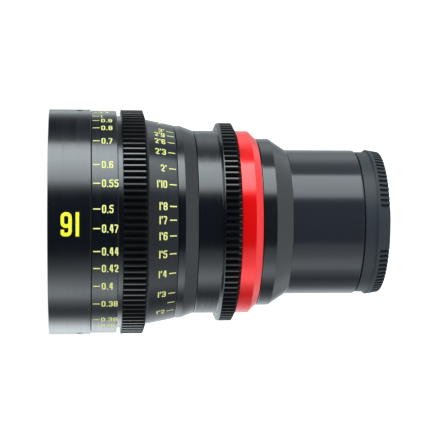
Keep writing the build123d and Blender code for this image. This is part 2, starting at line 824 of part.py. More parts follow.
# Guide ring: fixed on the main barrel's flange, its three bars run in the cell's notches
bar_inner_radius = pocket_outer_radius + seat_clearance
guide_ring_bore = sleeve_radius - guide_ring_width
guide_ring_top = flange_ring_top + guide_ring_thickness
guide_screw_circle = (guide_ring_bore + sleeve_radius) / 2
guide_screw_angle = guide_bar_angle + 180 / guide_bar_count
bar_top = cell_mouth_base + guide_bar_reach
with BuildPart() as guide_ring:
    revolve(ring_section(guide_ring_bore, sleeve_radius, flange_ring_top, guide_ring_top), Axis.Z)
    with BuildSketch(Plane.XY.offset(flange_ring_top)):
        with PolarLocations((bar_inner_radius + cell_radius) / 2, guide_bar_count, guide_bar_angle):
            Rectangle(cell_radius - bar_inner_radius, guide_bar_width)
        Circle(cell_radius, mode=Mode.INTERSECT)
    extrude(amount=bar_top - flange_ring_top)
    with Locations((0, 0, guide_ring_top)):
        with PolarLocations(guide_screw_circle, guide_bar_count, guide_screw_angle):
            CounterSinkHole(
                guide_screw_radius + seat_clearance,
                guide_screw_head_radius + seat_clearance,
                depth=guide_ring_thickness,
                counter_sink_angle=90,
            )


def countersunk_section(circle, azimuth, face, facing, radius, head_radius, length):
    """Half of a countersunk screw whose head is flush with a level face that looks up or down."""
    with BuildSketch(axial_plane(azimuth)) as section:
        with BuildLine():
            Polyline(
                (circle, face),
                (circle + head_radius, face),
                (circle + radius, face - facing * (head_radius - radius)),
                (circle + radius, face - facing * length),
                (circle, face - facing * length),
                close=True,
            )
        make_face()
    return section.sketch


def upright_axis(circle, azimuth):
    """An axis parallel to the optical axis, at a radius and an azimuth."""
    turn = radians(azimuth)
    return Axis((circle * cos(turn), circle * sin(turn), 0), (0, 0, 1))


with BuildPart() as guide_screws:
    for screw in range(guide_bar_count):
        azimuth = guide_screw_angle + screw * 360 / guide_bar_count
        screw_section = countersunk_section(
            guide_screw_circle,
            azimuth,
            guide_ring_top,
            1,
            guide_screw_radius,
            guide_screw_head_radius,
            guide_screw_length,
        )
        revolve(screw_section, upright_axis(guide_screw_circle, azimuth))

# Screws that hold the bayonet: countersunk, with a cross recess
recess_size = mount_screw_head_radius / 3
with BuildPart() as mount_screws:
    for screw in range(mount_screw_count):
        azimuth = mount_screw_angle + screw * 360 / mount_screw_count
        screw_section = countersunk_section(
            mount_screw_circle,
            azimuth,
            flange_height,
            -1,
            mount_screw_radius,
            mount_screw_head_radius,
            mount_screw_length,
        )
        revolve(screw_section, upright_axis(mount_screw_circle, azimuth))
    with BuildSketch(Plane.XY.offset(flange_height)):
        with PolarLocations(mount_screw_circle, mount_screw_count, mount_screw_angle):
            Rectangle(2 * mount_screw_radius, recess_size)
            Rectangle(recess_size, 2 * mount_screw_radius)
    extrude(amount=recess_size, mode=Mode.SUBTRACT)

# Front group of four elements
with BuildPart() as lens_element_1:
    radii = (element_1_radius, element_1_clear_radius)
    curves = (element_1_front_curve, element_1_rear_curve)
    revolve(element_section(*radii, element_1_vertex, *curves, element_1_thickness), Axis.Z)
with BuildPart() as lens_element_2:
    radii = (element_2_radius, element_2_clear_radius)
    curves = (element_2_front_curve, element_2_rear_curve)
    revolve(element_section(*radii, element_2_vertex, *curves, element_2_thickness), Axis.Z)
with BuildPart() as lens_element_3:
    radii = (element_3_radius, element_3_radius)
    curves = (element_3_front_curve, element_3_rear_curve)
    revolve(element_section(*radii, element_3_vertex, *curves, element_3_thickness), Axis.Z)
with BuildPart() as lens_element_4:
    radii = (element_3_radius, element_3_radius)
    curves = (element_4_front_curve, element_4_rear_curve)
    revolve(element_section(*radii, element_4_vertex, *curves, element_4_thickness), Axis.Z)
with BuildPart() as inner_spacer:
    spacer_rise = bulge(element_4_front_curve, element_3_radius, spacer_width)
    revolve(spacer_section(element_3_radius, element_4_edge, spacer_top, spacer_rise), Axis.Z)


def retaining_section(radius, edge, curve, facing):
    """A retaining ring whose conical face clears the curved rim of the element that it holds."""
    inner = radius - retaining_ring_width
    rise = bulge(curve, radius, retaining_ring_width)
    near = edge + facing * seat_clearance
    return outline(
        (radius, near),
        (inner, near + facing * (rise + seat_clearance)),
        (inner, edge + facing * retaining_ring_length),
        (radius, edge + facing * retaining_ring_length),
    )


# Retaining rings screw in over the rims of the elements; the front one is the bare name ring
front_edge = element_1_vertex - sag(element_1_front_curve, element_1_radius)
second_edge = element_2_vertex - sag(element_2_front_curve, element_2_radius)
with BuildPart() as front_retaining_ring:
    revolve(retaining_section(element_1_radius, front_edge, element_1_front_curve, 1), Axis.Z)
with BuildPart() as second_retaining_ring:
    revolve(retaining_section(element_2_radius, second_edge, element_2_front_curve, 1), Axis.Z)
with BuildPart() as inner_retaining_ring:
    revolve(retaining_section(element_3_radius, element_4_rim, element_4_rear_curve, -1), Axis.Z)

# Iris housing: base plate with nine pivot holes and a wall with a window for the drive pin
iris_floor = iris_ledge_height + iris_ledge_thickness
plate_top = iris_floor + iris_plate_thickness
first_blade = plate_top + blade_pitch - blade_thickness
cam_ring_base = plate_top + blade_count * blade_pitch + face_gap
cam_ring_top = cam_ring_base + cam_ring_thickness
cover_base = cam_ring_top + cam_ring_gap
iris_screw_circle = housing_radius - iris_wall / 2
blade_turns = [blade * 360 / blade_count for blade in range(blade_count)]
with BuildPart() as iris_housing:
    revolve(
        outline(
            (iris_opening_radius, iris_floor),
            (housing_radius, iris_floor),
            (housing_radius, cover_base),
            (housing_bore, cover_base),
            (housing_bore, plate_top),
            (iris_opening_radius, plate_top),
        ),
        Axis.Z,
    )
    with BuildSketch(Plane.XY.offset(iris_floor)):
        with PolarLocations(pivot_radius, blade_count):
            Circle(blade_pin_radius + running_clearance)
    extrude(amount=iris_plate_thickness, mode=Mode.SUBTRACT)
    with BuildSketch(Plane.XY.offset(plate_top)):
        with PolarLocations(iris_screw_circle, iris_screw_count, iris_screw_angle):
            Circle(iris_screw_radius + seat_clearance)
    extrude(amount=cover_base - plate_top, mode=Mode.SUBTRACT)
    wall_window = ring_section(
        housing_bore - cut_overrun,
        housing_radius + cut_overrun,
        pin_height - drive_pin_radius - window_margin / 2,
        pin_height + drive_pin_radius + window_margin / 2,
        drive_pin_angle - iris_throw - pin_half_angle,
    )
    revolve(wall_window, Axis.Z, iris_throw + 2 * pin_half_angle, mode=Mode.SUBTRACT)

with BuildPart() as iris_cover:
    revolve(
        ring_section(cam_ring_bore, housing_radius, cover_base, cover_base + iris_cover_thickness), Axis.Z
    )
    with BuildSketch(Plane.XY.offset(cover_base)):
        with PolarLocations(iris_screw_circle, iris_screw_count, iris_screw_angle):
            Circle(iris_screw_radius + seat_clearance)
    extrude(amount=iris_cover_thickness, mode=Mode.SUBTRACT)

with BuildPart() as iris_screws:
    with BuildSketch(Plane.XY.offset(cover_base - 2 * iris_cover_thickness)):
        with PolarLocations(iris_screw_circle, iris_screw_count, iris_screw_angle):
            Circle(iris_screw_radius)
    extrude(amount=3 * iris_cover_thickness)
    with BuildSketch(Plane.XY.offset(cover_base + iris_cover_thickness)):
        with PolarLocations(iris_screw_circle, iris_screw_count, iris_screw_angle):
            Circle(iris_screw_head_radius)
    extrude(amount=iris_screw_head_length)

# Iris blades: each a thin crescent at its own level, with a pivot pin below and a cam pin above.
# The cam ring's slots follow the cam pins as ring and blades turn at a steady ratio.
blade_swing = degrees(2 * asin((blade_open_radius - blade_closed_radius) / (2 * pivot_radius)))


def turned(x, y, angle):
    """A point turned about the optical axis."""
    turn = radians(angle)
    return (x * cos(turn) - y * sin(turn), x * sin(turn) + y * cos(turn))


def cam_pin_in_ring(share):
    """Where a blade's cam pin lies in the cam ring, at a share of the iris ring's throw."""
    pin_x, pin_y = turned(pivot_radius, 0, -cam_pin_angle)
    arm_x, arm_y = turned(pin_x - pivot_radius, pin_y, -blade_swing * share)
    return turned(pivot_radius + arm_x, arm_y, iris_throw * share)


def iris_blade_part(level, azimuth):
    """One blade with its two pins, at a height and an azimuth."""
    with BuildPart() as blade:
        with BuildSketch(level_plane(level, azimuth)):
            with BuildLine():
                sweep_angle = -blade_tail_angle - blade_span_angle
                outer = CenterArc((0, 0), blade_outer_radius, blade_tail_angle, sweep_angle)
                inner = CenterArc((0, 0), blade_open_radius, blade_tail_angle, sweep_angle)
                Line(outer @ 0, inner @ 0)
                Line(outer @ 1, inner @ 1)
            make_face()
            with BuildLine():
                ear_outer = CenterArc((0, 0), pivot_radius + ear_width / 2, 0, -cam_pin_angle)
                ear_inner = CenterArc((0, 0), blade_outer_radius - ear_width / 2, 0, -cam_pin_angle)
                Line(ear_outer @ 0, ear_inner @ 0)
                Line(ear_outer @ 1, ear_inner @ 1)
            make_face()
            with Locations((pivot_radius, 0), turned(pivot_radius, 0, -cam_pin_angle)):
                Circle(ear_width / 2)
        extrude(amount=blade_thickness)
        with BuildSketch(level_plane(iris_floor + running_clearance, azimuth)):
            with Locations((pivot_radius, 0)):
                Circle(blade_pin_radius)
        extrude(amount=level - iris_floor - running_clearance)
        with BuildSketch(level_plane(level + blade_thickness, azimuth)):
            with Locations(turned(pivot_radius, 0, -cam_pin_angle)):
                Circle(blade_pin_radius)
        extrude(amount=cam_ring_top - level - blade_thickness)
    return blade.part


iris_blades = [
    iris_blade_part(first_blade + blade * blade_pitch, turn) for blade, turn in enumerate(blade_turns)
]

slot_shares = (-0.03, 0.0, 0.2, 0.4, 0.6, 0.8, 1.0, 1.03)
slot_half_width = blade_pin_radius + slot_gap
with BuildPart() as iris_cam_ring:
    revolve(ring_section(cam_ring_bore, cam_ring_radius, cam_ring_base, cam_ring_top), Axis.Z)
    for turn in blade_turns:
        with BuildSketch(level_plane(cam_ring_base, turn)):
            with BuildLine() as slot_line:
                Spline(*[cam_pin_in_ring(share) for share in slot_shares])
            trace(slot_line.line, 2 * slot_half_width)
            with Locations(slot_line.line @ 0, slot_line.line @ 1):
                Circle(slot_half_width)
        extrude(amount=cam_ring_thickness, mode=Mode.SUBTRACT)
    with BuildSketch(radial_plane(pin_height, drive_pin_angle, cam_ring_radius - drive_pin_bite)):
        Circle(drive_pin_radius + seat_clearance)
    extrude(amount=drive_pin_bite, mode=Mode.SUBTRACT)

with BuildPart() as iris_drive_pin:
    pin_foot = cam_ring_radius - drive_pin_bite + seat_clearance
    pin_tip = iris_relief_radius + drive_pin_bite / 2 - seat_clearance
    with BuildSketch(radial_plane(pin_height, drive_pin_angle, pin_foot)):
        Circle(drive_pin_radius)
    extrude(amount=pin_tip - pin_foot)

# Rear cell, hung under the iris housing, with a cemented pair and two single elements
rear_seat_radius = rear_element_radius + seat_clearance
rear_lip_base = iris_floor - rear_cell_lip
element_5_vertex = rear_lip_base + sag(element_5_front_curve, rear_element_radius)
element_6_vertex = element_5_vertex - element_5_thickness - cement_gap
element_6_rim = element_6_vertex - element_6_thickness - sag(element_6_rear_curve, rear_element_radius)
element_7_edge = element_6_rim - upper_spacer_length
element_7_vertex = element_7_edge + sag(element_7_front_curve, rear_element_radius)
element_7_rim = element_7_vertex - element_7_thickness - sag(element_7_rear_curve, rear_element_radius)
element_8_edge = element_7_rim - lower_spacer_length
element_8_vertex = element_8_edge + sag(element_8_front_curve, rear_element_radius)
element_8_rim = element_8_vertex - element_8_thickness - sag(element_8_rear_curve, rear_element_radius)
rear_cell_base = element_8_rim - retaining_ring_length - cell_lip
with BuildPart() as rear_cell:
    revolve(
        outline(
            (rear_seat_radius, rear_cell_base),
            (rear_seat_radius + rear_cell_wall, rear_cell_base),
            (rear_seat_radius + rear_cell_wall, iris_floor - rear_cell_flange),
            (main_lower_bore - iris_ledge_depth - seat_clearance, iris_floor - rear_cell_flange),
            (main_lower_bore - iris_ledge_depth - seat_clearance, iris_floor),
            (rear_seat_radius - cell_lip, iris_floor),
            (
                rear_seat_radius - cell_lip,
                rear_lip_base + bulge(element_5_front_curve, rear_element_radius, cell_lip),
            ),
            (rear_seat_radius, rear_lip_base),
        ),
        Axis.Z,
    )


def rear_element(vertex, front_curve, rear_curve, thickness):
    """The half section of a rear element, all of which share one radius."""
    radius = rear_element_radius
    return element_section(radius, radius, vertex, front_curve, rear_curve, thickness)


pair_curve = element_5_rear_curve
with BuildPart() as lens_element_5:
    revolve(rear_element(element_5_vertex, element_5_front_curve, pair_curve, element_5_thickness), Axis.Z)
with BuildPart() as lens_element_6:
    revolve(rear_element(element_6_vertex, pair_curve, element_6_rear_curve, element_6_thickness), Axis.Z)
with BuildPart() as lens_element_7:
    curves = (element_7_front_curve, element_7_rear_curve)
    revolve(rear_element(element_7_vertex, *curves, element_7_thickness), Axis.Z)
with BuildPart() as lens_element_8:
    curves = (element_8_front_curve, element_8_rear_curve)
    revolve(rear_element(element_8_vertex, *curves, element_8_thickness), Axis.Z)
with BuildPart() as upper_spacer:
    revolve(
        spacer_section(
            rear_element_radius,
            element_7_edge,
            element_6_rim,
            bulge(element_7_front_curve, rear_element_radius, spacer_width),
            bulge(element_6_rear_curve, rear_element_radius, spacer_width),
        ),
        Axis.Z,
    )
with BuildPart() as lower_spacer:
    spacer_drop = bulge(element_7_rear_curve, rear_element_radius, spacer_width)
    revolve(
        spacer_section(rear_element_radius, element_8_edge, element_7_rim, high_drop=spacer_drop), Axis.Z
    )
with BuildPart() as rear_retaining_ring:
    revolve(retaining_section(rear_element_radius, element_8_rim, element_8_rear_curve, -1), Axis.Z)

# Front barrel: fixed hood with the filter thread, a stepped baffle and three set screws
screw_height = lens_top - set_screw_setback
baffle_riser = baffle_depth / baffle_steps
baffle_tread = (thread_radius - front_lip_radius) / baffle_steps
baffle_points = []
for step in range(baffle_steps):
    baffle_points.append((front_lip_radius + step * baffle_tread, baffle_base + step * baffle_riser))
    baffle_points.append((front_lip_radius + step * baffle_tread, baffle_base + (step + 1) * baffle_riser))
with BuildPart() as front_barrel:
    revolve(
        outline(
            (main_upper_radius + seat_clearance, front_base),
            (front_barrel_radius, front_base),
            (front_barrel_radius, lens_top - edge_break),
            (front_barrel_radius - edge_break, lens_top),
            (thread_radius + thread_chamfer, lens_top),
            (thread_radius, lens_top - thread_chamfer),
            (thread_radius, thread_base),
            *reversed(baffle_points),
            (front_lip_radius, main_top),
            (main_upper_radius + seat_clearance, main_top),
        ),
        Axis.Z,
    )
    for azimuth in set_screw_angles:
        with BuildSketch(radial_plane(screw_height, azimuth, main_upper_radius)):
            Circle(set_screw_radius + seat_clearance)
        extrude(amount=front_barrel_radius + cut_overrun - main_upper_radius, mode=Mode.SUBTRACT)

# Set screws with hexagon sockets
with BuildPart() as front_set_screws:
    screw_foot = main_upper_radius + seat_clearance
    socket_floor = screw_foot + set_screw_length - set_screw_socket_depth
    for azimuth in set_screw_angles:
        with BuildSketch(radial_plane(screw_height, azimuth, screw_foot)):
            Circle(set_screw_radius)
        extrude(amount=set_screw_length)
        with BuildSketch(radial_plane(screw_height, azimuth, socket_floor)):
            RegularPolygon(set_screw_socket_radius, 6)
        extrude(amount=set_screw_socket_depth, mode=Mode.SUBTRACT)

# Every sub-part under its node's name
sub_parts = {
    "rear_cap": rear_cap.part,
    "mount_bayonet": mount_bayonet.part,
    "mount_screws": mount_screws.part,
    "mount_baffle": mount_baffle.part,
    "mount_tube": mount_tube.part,
    "rear_barrel": rear_barrel.part,
    "red_ring": red_ring.part,
    "main_barrel": main_barrel.part,
    "iris_ring": iris_ring.part,
    "iris_drive_pin": iris_drive_pin.part,
    "index_ring": index_ring.part,
    "focus_ring": focus_ring.part,
    "focus_drive_key": focus_drive_key.part,
    "helicoid_sleeve": helicoid_sleeve.part,
    "focus_cell": focus_cell.part,
    "guide_ring": guide_ring.part,
    "guide_screws": guide_screws.part,
    "lens_element_1": lens_element_1.part,
    "lens_element_2": lens_element_2.part,
    "lens_element_3": lens_element_3.part,
    "lens_element_4": lens_element_4.part,
    "inner_spacer": inner_spacer.part,
    "front_retaining_ring": front_retaining_ring.part,
    "second_retaining_ring": second_retaining_ring.part,
    "inner_retaining_ring": inner_retaining_ring.part,
    "iris_housing": iris_housing.part,
    "iris_cover": iris_cover.part,
    "iris_screws": iris_screws.part,
    "iris_cam_ring": iris_cam_ring.part,
    "rear_cell": rear_cell.part,
    "lens_element_5": lens_element_5.part,
    "lens_element_6": lens_element_6.part,
    "lens_element_7": lens_element_7.part,
    "lens_element_8": lens_element_8.part,
    "upper_spacer": upper_spacer.part,
    "lower_spacer": lower_spacer.part,
    "rear_retaining_ring": rear_retaining_ring.part,
    "front_barrel": front_barrel.part,
    "front_set_screws": front_set_screws.part,
}
for number, blade in enumerate(iris_blades, start=1):
    sub_parts[f"iris_blade_{number}"] = blade

os.makedirs("parts", exist_ok=True)
for name, sub_part in sub_parts.items():
    sub_part.label = name
    export_step(sub_part, f"parts/{name}.step")

print(f"height {lens_top:.2f} mm, gear tip radii {focus_tip_radius:.2f} and {iris_tip_radius:.2f} mm")
print(f"thread lead {thread_lead:.3f} mm, blade swing {blade_swing:.3f} degrees")
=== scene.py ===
"""Look of the cinema prime lens, built on the shared frame. Lengths are in metres, angles in degrees."""

import json
import math

import bmesh
import bpy
import numpy as np
from mathutils import Matrix, Vector
from mathutils.geometry import delaunay_2d_cdt


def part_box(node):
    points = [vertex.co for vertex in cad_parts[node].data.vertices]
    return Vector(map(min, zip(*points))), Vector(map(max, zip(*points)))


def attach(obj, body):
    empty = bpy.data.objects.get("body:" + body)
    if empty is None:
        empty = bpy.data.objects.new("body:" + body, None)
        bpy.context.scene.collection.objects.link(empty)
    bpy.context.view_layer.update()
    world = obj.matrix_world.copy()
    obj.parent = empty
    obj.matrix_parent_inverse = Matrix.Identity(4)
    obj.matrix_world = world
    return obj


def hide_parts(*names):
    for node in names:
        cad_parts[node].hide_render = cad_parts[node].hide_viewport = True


MM = 0.001

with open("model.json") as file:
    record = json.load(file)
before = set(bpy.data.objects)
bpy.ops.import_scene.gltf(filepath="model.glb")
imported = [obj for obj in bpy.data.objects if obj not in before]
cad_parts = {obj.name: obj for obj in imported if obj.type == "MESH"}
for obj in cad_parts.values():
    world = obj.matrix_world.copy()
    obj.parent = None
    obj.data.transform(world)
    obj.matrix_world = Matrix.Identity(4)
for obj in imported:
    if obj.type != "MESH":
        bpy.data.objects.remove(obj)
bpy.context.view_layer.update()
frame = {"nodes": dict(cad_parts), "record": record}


def span(node):
    """Lowest and highest point of a node along the optical axis."""
    low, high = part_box(node)
    return low.z, high.z


def reach(node):
    """Greatest radius of a node about the optical axis."""
    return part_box(node)[1].x


def bore(node):
    """Smallest radius of a node about the optical axis."""
    co = np.array([v.co for v in frame["nodes"][node].data.vertices], float).reshape(-1, 3)
    return float(np.hypot(co[:, 0], co[:, 1]).min())


# thickness of paint, and the small gap between a shell and what it touches
PAINT = 0.03 * MM
TINY = 0.02 * MM

# rounding of edges: its radius, the share of a side that it may take, the half angle from which a corner
# counts as straight, and how far out the points lie that hold the flats flat
EDGE = 0.16 * MM
EDGE_STEPS = 3
EDGE_SIDE_SHARE = 0.4
STRAIGHT_HALF = 88.5
HOLD_SHARE = 1.5
HOLD_SIDE_SHARE = 1.2

# fineness of the meshes
PLAIN_STEPS = 360
HOLE_STEPS = 48
THREAD_STEPS = 64
LUG_STEPS = 16
SMOOTH_ANGLE = 38
PAINT_SMOOTH_ANGLE = 30
WELD = 1e-7

# stations along the axis, from the frame
BARREL_BACK, TOTAL = span("front_barrel")
FOCUS_BACK, FOCUS_FRONT = span("focus_ring")
INDEX_BACK, INDEX_FRONT = span("index_ring")
IRIS_BACK, IRIS_FRONT = span("iris_ring")
RED_BACK, RED_FRONT = span("red_ring")
REAR_BACK, REAR_FRONT = span("rear_barrel")
TUBE_BACK, TUBE_FRONT = span("mount_tube")
CAP_BACK, CAP_FRONT = span("rear_cap")

# radii, from the frame
FRONT_R = reach("front_barrel") - PAINT
GEAR_TIP = reach("focus_ring") - PAINT
IRIS_TIP = reach("iris_ring") - PAINT
INDEX_R = reach("index_ring") - PAINT
RED_R = reach("red_ring")
REAR_R = reach("rear_barrel")
TUBE_R = reach("mount_tube")
CAP_R = reach("rear_cap")

# gears: the painted shade in the gaps starts at a share of the tooth's break and ends just past its depth
MODULE = 0.8 * MM
FOCUS_TEETH = 108
IRIS_TEETH = 96
TOOTH_DEPTH = 1.8 * MM
TOOTH_BREAK = 0.15 * MM
TOOTH_BREAK_SHARE = 0.7
GAP_FROM_SHARE = 0.3
GAP_TO_SHARE = 1.1
PRESSURE = 20

# rings from the front to the back
LAND_R = 43.5 * MM
NECK_R = 41.5 * MM
NECK_BACK = 102.25 * MM
LAND_BACK = 104.2 * MM
SHOULDER_BACK = 92.65 * MM
SHOULDER_FRONT = 93.95 * MM
CONE_FRONT_R = 40.3 * MM
CONE_BACK_R = 38.2 * MM
INDEX_CONE_R = 36.1 * MM
INDEX_CONE_FRONT = 79.1 * MM
SLEEVE_R = 36.1 * MM
SLEEVE_BACK = 65.1 * MM
COLLAR_R = 37.7 * MM
COLLAR_FRONT = 64.5 * MM
IRIS_GEAR_FRONT = 64.2 * MM
IRIS_CHAMFER_R = 36.8 * MM
IRIS_CHAMFER_FRONT = 59.2 * MM
RED_BEVEL_R = 33.4 * MM
RED_BEVEL_FRONT = 52.5 * MM
REAR_CONE_FRONT = 44.3 * MM
REAR_LAND_FRONT = 49.2 * MM

# front barrel's hood, filter thread and screw holes
HOOD_R = 33.7 * MM
HOOD_BACK = 122.0 * MM
HOOD_LIP = 121.0 * MM
THREAD_BACK = 125.0 * MM
THREAD_R = 40.6 * MM
THREAD_DEPTH = 0.4 * MM
THREAD_PITCH = 0.75 * MM
THREAD_END = 0.5 * MM
HOOD_STEPS = 4
SCREW_Z = 118.3 * MM
SCREW_R = 1.28 * MM
SCREW_DEPTH = 8.9 * MM
SCREW_ANGLES = (-11, -169.5, 90)

# rear cap, its ribs in groups and its inner lugs
CAP_HEAD_FRONT = 4.8 * MM
CAP_HEAD_R = 28.1 * MM
CAP_SKIRT_R = 27.95 * MM
CAP_SKIRT_FRONT = 9.5 * MM
CAP_RIM_R = 26.5 * MM
CAP_BORE_R = 24.4 * MM
CAP_FLOOR = 1.8 * MM
CAP_EDGE = 0.35 * MM
CAP_EDGE_STEPS = 5
CAP_ROUNDING = EDGE * 0.7
AXIS_HOLE = 0.3 * MM
RIB_GROUPS = 3
RIB_PITCH = 4.2
RIB_COUNT = 21
RIB_FIRST = -77.4
RIB_CLEAR = 0.05
RIB_CLEAR_SHARE = 1.6
RIB_FLANK_SHARE = 0.35
RIB_WIDTH = 1.15 * MM
RIB_DEPTH = 0.6 * MM
RIB_FRONT = 3.7 * MM
LUG_R = 22.2 * MM
LUG_BACK = 7.7 * MM
LUG_FRONT = 9.0 * MM
LUG_SPAN = 40
LUG_ANGLES = (-30, 90, 210)


# mesh helpers
def rounded(corners, radius=EDGE, closed=True, steps=EDGE_STEPS):
    """Corner points turned into small arcs, with points that hold the flats flat on either side."""
    pts = [Vector(p) for p in corners]
    out = []
    count = len(pts)
    for i, c in enumerate(pts):
        if not closed and i in (0, count - 1):
            out.append(c)
            continue
        a, b = pts[i - 1] - c, pts[(i + 1) % count] - c
        room = EDGE_SIDE_SHARE * min(a.length, b.length)
        a.normalize()
        b.normalize()
        half = math.acos(max(-1.0, min(1.0, a.dot(b)))) / 2
        if half > math.radians(STRAIGHT_HALF) or room < TINY / 4:
            out.append(c)
            continue
        cut = min(radius / math.tan(half), room)
        size = cut * math.tan(half)
        centre = c + (a + b).normalized() * (size / math.sin(half))
        u, v = c + a * cut - centre, c + b * cut - centre
        turn = u.angle(v)
        hold = min(cut * HOLD_SHARE, (cut + room * HOLD_SIDE_SHARE) / 2) if closed else 0
        if hold > cut:
            out.append(c + a * hold)
        for k in range(steps + 1):
            s = k / steps
            out.append(centre + (u * math.sin((1 - s) * turn) + v * math.sin(s * turn)) / math.sin(turn))
        if hold > cut:
            out.append(c + b * hold)
    return out


def linked(name, mesh):
    """An object of a mesh, in the scene."""
    obj = bpy.data.objects.new(name, mesh)
    bpy.context.scene.collection.objects.link(obj)
    return obj


def mesh_object(name, verts, faces, smooth=SMOOTH_ANGLE):
    """A mesh object with outward normals, smooth except at edges sharper than the smooth angle."""
    mesh = bpy.data.meshes.new(name)
    mesh.from_pydata(verts, [], faces)
    bm = bmesh.new()
    bm.from_mesh(mesh)
    bmesh.ops.remove_doubles(bm, verts=bm.verts, dist=WELD)
    bmesh.ops.dissolve_degenerate(bm, edges=bm.edges, dist=WELD)
    bmesh.ops.recalc_face_normals(bm, faces=bm.faces)
    bm.to_mesh(mesh)
    bm.free()
    mesh.shade_smooth()
    mesh.set_sharp_from_angle(angle=math.radians(smooth))
    return linked(name, mesh)


def lathe(name, profile, stations=None, shape=None):
    """The closed (radius, height) profile turned about the axis.

    stations are (angle in radians, value) pairs, and shape(r, z, value) moves a profile point there,
    which cuts teeth, ribs and threads.
    """
    stations = stations or [(2 * math.pi * i / PLAIN_STEPS, 0) for i in range(PLAIN_STEPS)]
    verts, rows, count = [], len(profile), len(stations)
    for angle, value in stations:
        c, s = math.cos(angle), math.sin(angle)
        for r, z in profile:
            if shape:
                r, z = shape(r, z, value)
            verts.append((r * c, r * s, z))
    faces = []
    for i in range(count):
        a, b = i * rows, (i + 1) % count * rows
        for j in range(rows):
            k = (j + 1) % rows
            faces.append((a + j, b + j, b + k, a + k))
    return mesh_object(name, verts, faces)


def gear_stations(teeth, tip):
    """Angles and limit radii round a gear: root, flank, broken tip edge, tip land."""
    pitch_r = teeth * MODULE / 2
    root = tip - TOOTH_DEPTH
    quarter = math.pi / teeth / 2

    def half_angle(radius):
        gap = quarter * pitch_r + (radius - pitch_r) * math.tan(math.radians(PRESSURE))
        return gap / radius

    inner, outer = half_angle(root), half_angle(tip - TOOTH_BREAK)
    edge = half_angle(tip) + TOOTH_BREAK * TOOTH_BREAK_SHARE / tip
    out = []
    for i in range(teeth):
        a = 2 * math.pi * i / teeth
        out += [(a - edge, tip), (a - outer, tip - TOOTH_BREAK), (a - inner, root)]
        out += [(a, root), (a + inner, root), (a + outer, tip - TOOTH_BREAK), (a + edge, tip)]
        out += [(a + math.pi / teeth, tip)]
    return out


def limited(back, front):
    """Shape that keeps a profile point between two heights within the station's radius."""
    return lambda r, z, value: (min(r, value), z) if back - TINY / 2 <= z <= front + TINY / 2 else (r, z)


# rings
def build_front_barrel():
    """Fixed front barrel: plain land, helical filter thread, stepped hood and three screw holes."""
    corners = [(reach("main_barrel") + TINY, BARREL_BACK), (FRONT_R, BARREL_BACK), (FRONT_R, TOTAL)]
    corners += [(THREAD_R + THREAD_END, TOTAL), (THREAD_R, TOTAL - THREAD_END)]
    low, high = THREAD_BACK, TOTAL - THREAD_END
    corners += [(THREAD_R, high - (high - low) * k / THREAD_STEPS) for k in range(1, THREAD_STEPS)]
    step_r = (THREAD_R - HOOD_R) / HOOD_STEPS
    step_z = (THREAD_BACK - HOOD_BACK) / HOOD_STEPS
    for k in range(HOOD_STEPS):
        r = THREAD_R - k * step_r
        z = THREAD_BACK - k * step_z
        corners += [(r, z), (r - step_r, z)]
    corners += [(HOOD_R, HOOD_LIP), (reach("main_barrel") + TINY, HOOD_LIP)]

    def thread(r, z, angle):
        if abs(r - THREAD_R) > TINY or not low < z < high:
            return r, z
        phase = (z / THREAD_PITCH - angle / (2 * math.pi)) % 1
        fade = min(1, (z - low) / THREAD_PITCH, (high - z) / THREAD_PITCH)
        return r + THREAD_DEPTH * fade * (1 - abs(2 * phase - 1)), z

    stations = [(2 * math.pi * i / PLAIN_STEPS,) * 2 for i in range(PLAIN_STEPS)]
    obj = lathe("front_barrel_shell", rounded(corners), stations, thread)
    return drilled(obj)


def drilled(obj):
    """Cuts the screw holes into the front barrel."""
    cutters = []
    for angle in SCREW_ANGLES:
        bm = bmesh.new()
        size = {"radius1": SCREW_R, "radius2": SCREW_R, "depth": 2 * SCREW_DEPTH}
        bmesh.ops.create_cone(bm, cap_ends=True, segments=HOLE_STEPS, **size)
        mesh = bpy.data.meshes.new("cutter")
        bm.to_mesh(mesh)
        bm.free()
        cutter = linked("cutter", mesh)
        a = math.radians(angle)
        out = Vector((math.cos(a), math.sin(a), 0))
        turn = out.to_track_quat("Z", "Y").to_matrix().to_4x4()
        cutter.matrix_world = Matrix.Translation(out * FRONT_R + Vector((0, 0, SCREW_Z))) @ turn
        cut = obj.modifiers.new("hole", "BOOLEAN")
        cut.operation, cut.solver, cut.object = "DIFFERENCE", "EXACT", cutter
        cutters.append(cutter)
    bpy.context.view_layer.update()
    made = bpy.data.meshes.new_from_object(obj.evaluated_get(bpy.context.evaluated_depsgraph_get()))
    obj.modifiers.clear()
    old = obj.data
    obj.data = made
    made.name = "front_barrel_shell"
    bpy.data.meshes.remove(old)
    made.set_sharp_from_angle(angle=math.radians(SMOOTH_ANGLE))
    for cutter in cutters:
        mesh = cutter.data
        bpy.data.objects.remove(cutter)
        bpy.data.meshes.remove(mesh)
    return obj


def build_focus_ring():
    """Focus ring: feet cone, gear, neck and metre land."""
    inner = bore("focus_ring")
    root = GEAR_TIP - TOOTH_DEPTH
    share = (root - CONE_FRONT_R) / (GEAR_TIP - CONE_FRONT_R)
    run_out = SHOULDER_BACK + (SHOULDER_FRONT - SHOULDER_BACK) * share
    corners = [(inner, FOCUS_BACK), (CONE_BACK_R, FOCUS_BACK), (CONE_FRONT_R, SHOULDER_BACK), (root, run_out)]
    corners += [(GEAR_TIP, SHOULDER_FRONT), (GEAR_TIP, NECK_BACK), (NECK_R, NECK_BACK), (NECK_R, LAND_BACK)]
    corners += [(LAND_R, LAND_BACK), (LAND_R, FOCUS_FRONT), (inner, FOCUS_FRONT)]
    teeth = gear_stations(FOCUS_TEETH, GEAR_TIP)
    return lathe("focus_ring_shell", rounded(corners), teeth, limited(SHOULDER_BACK, NECK_BACK))


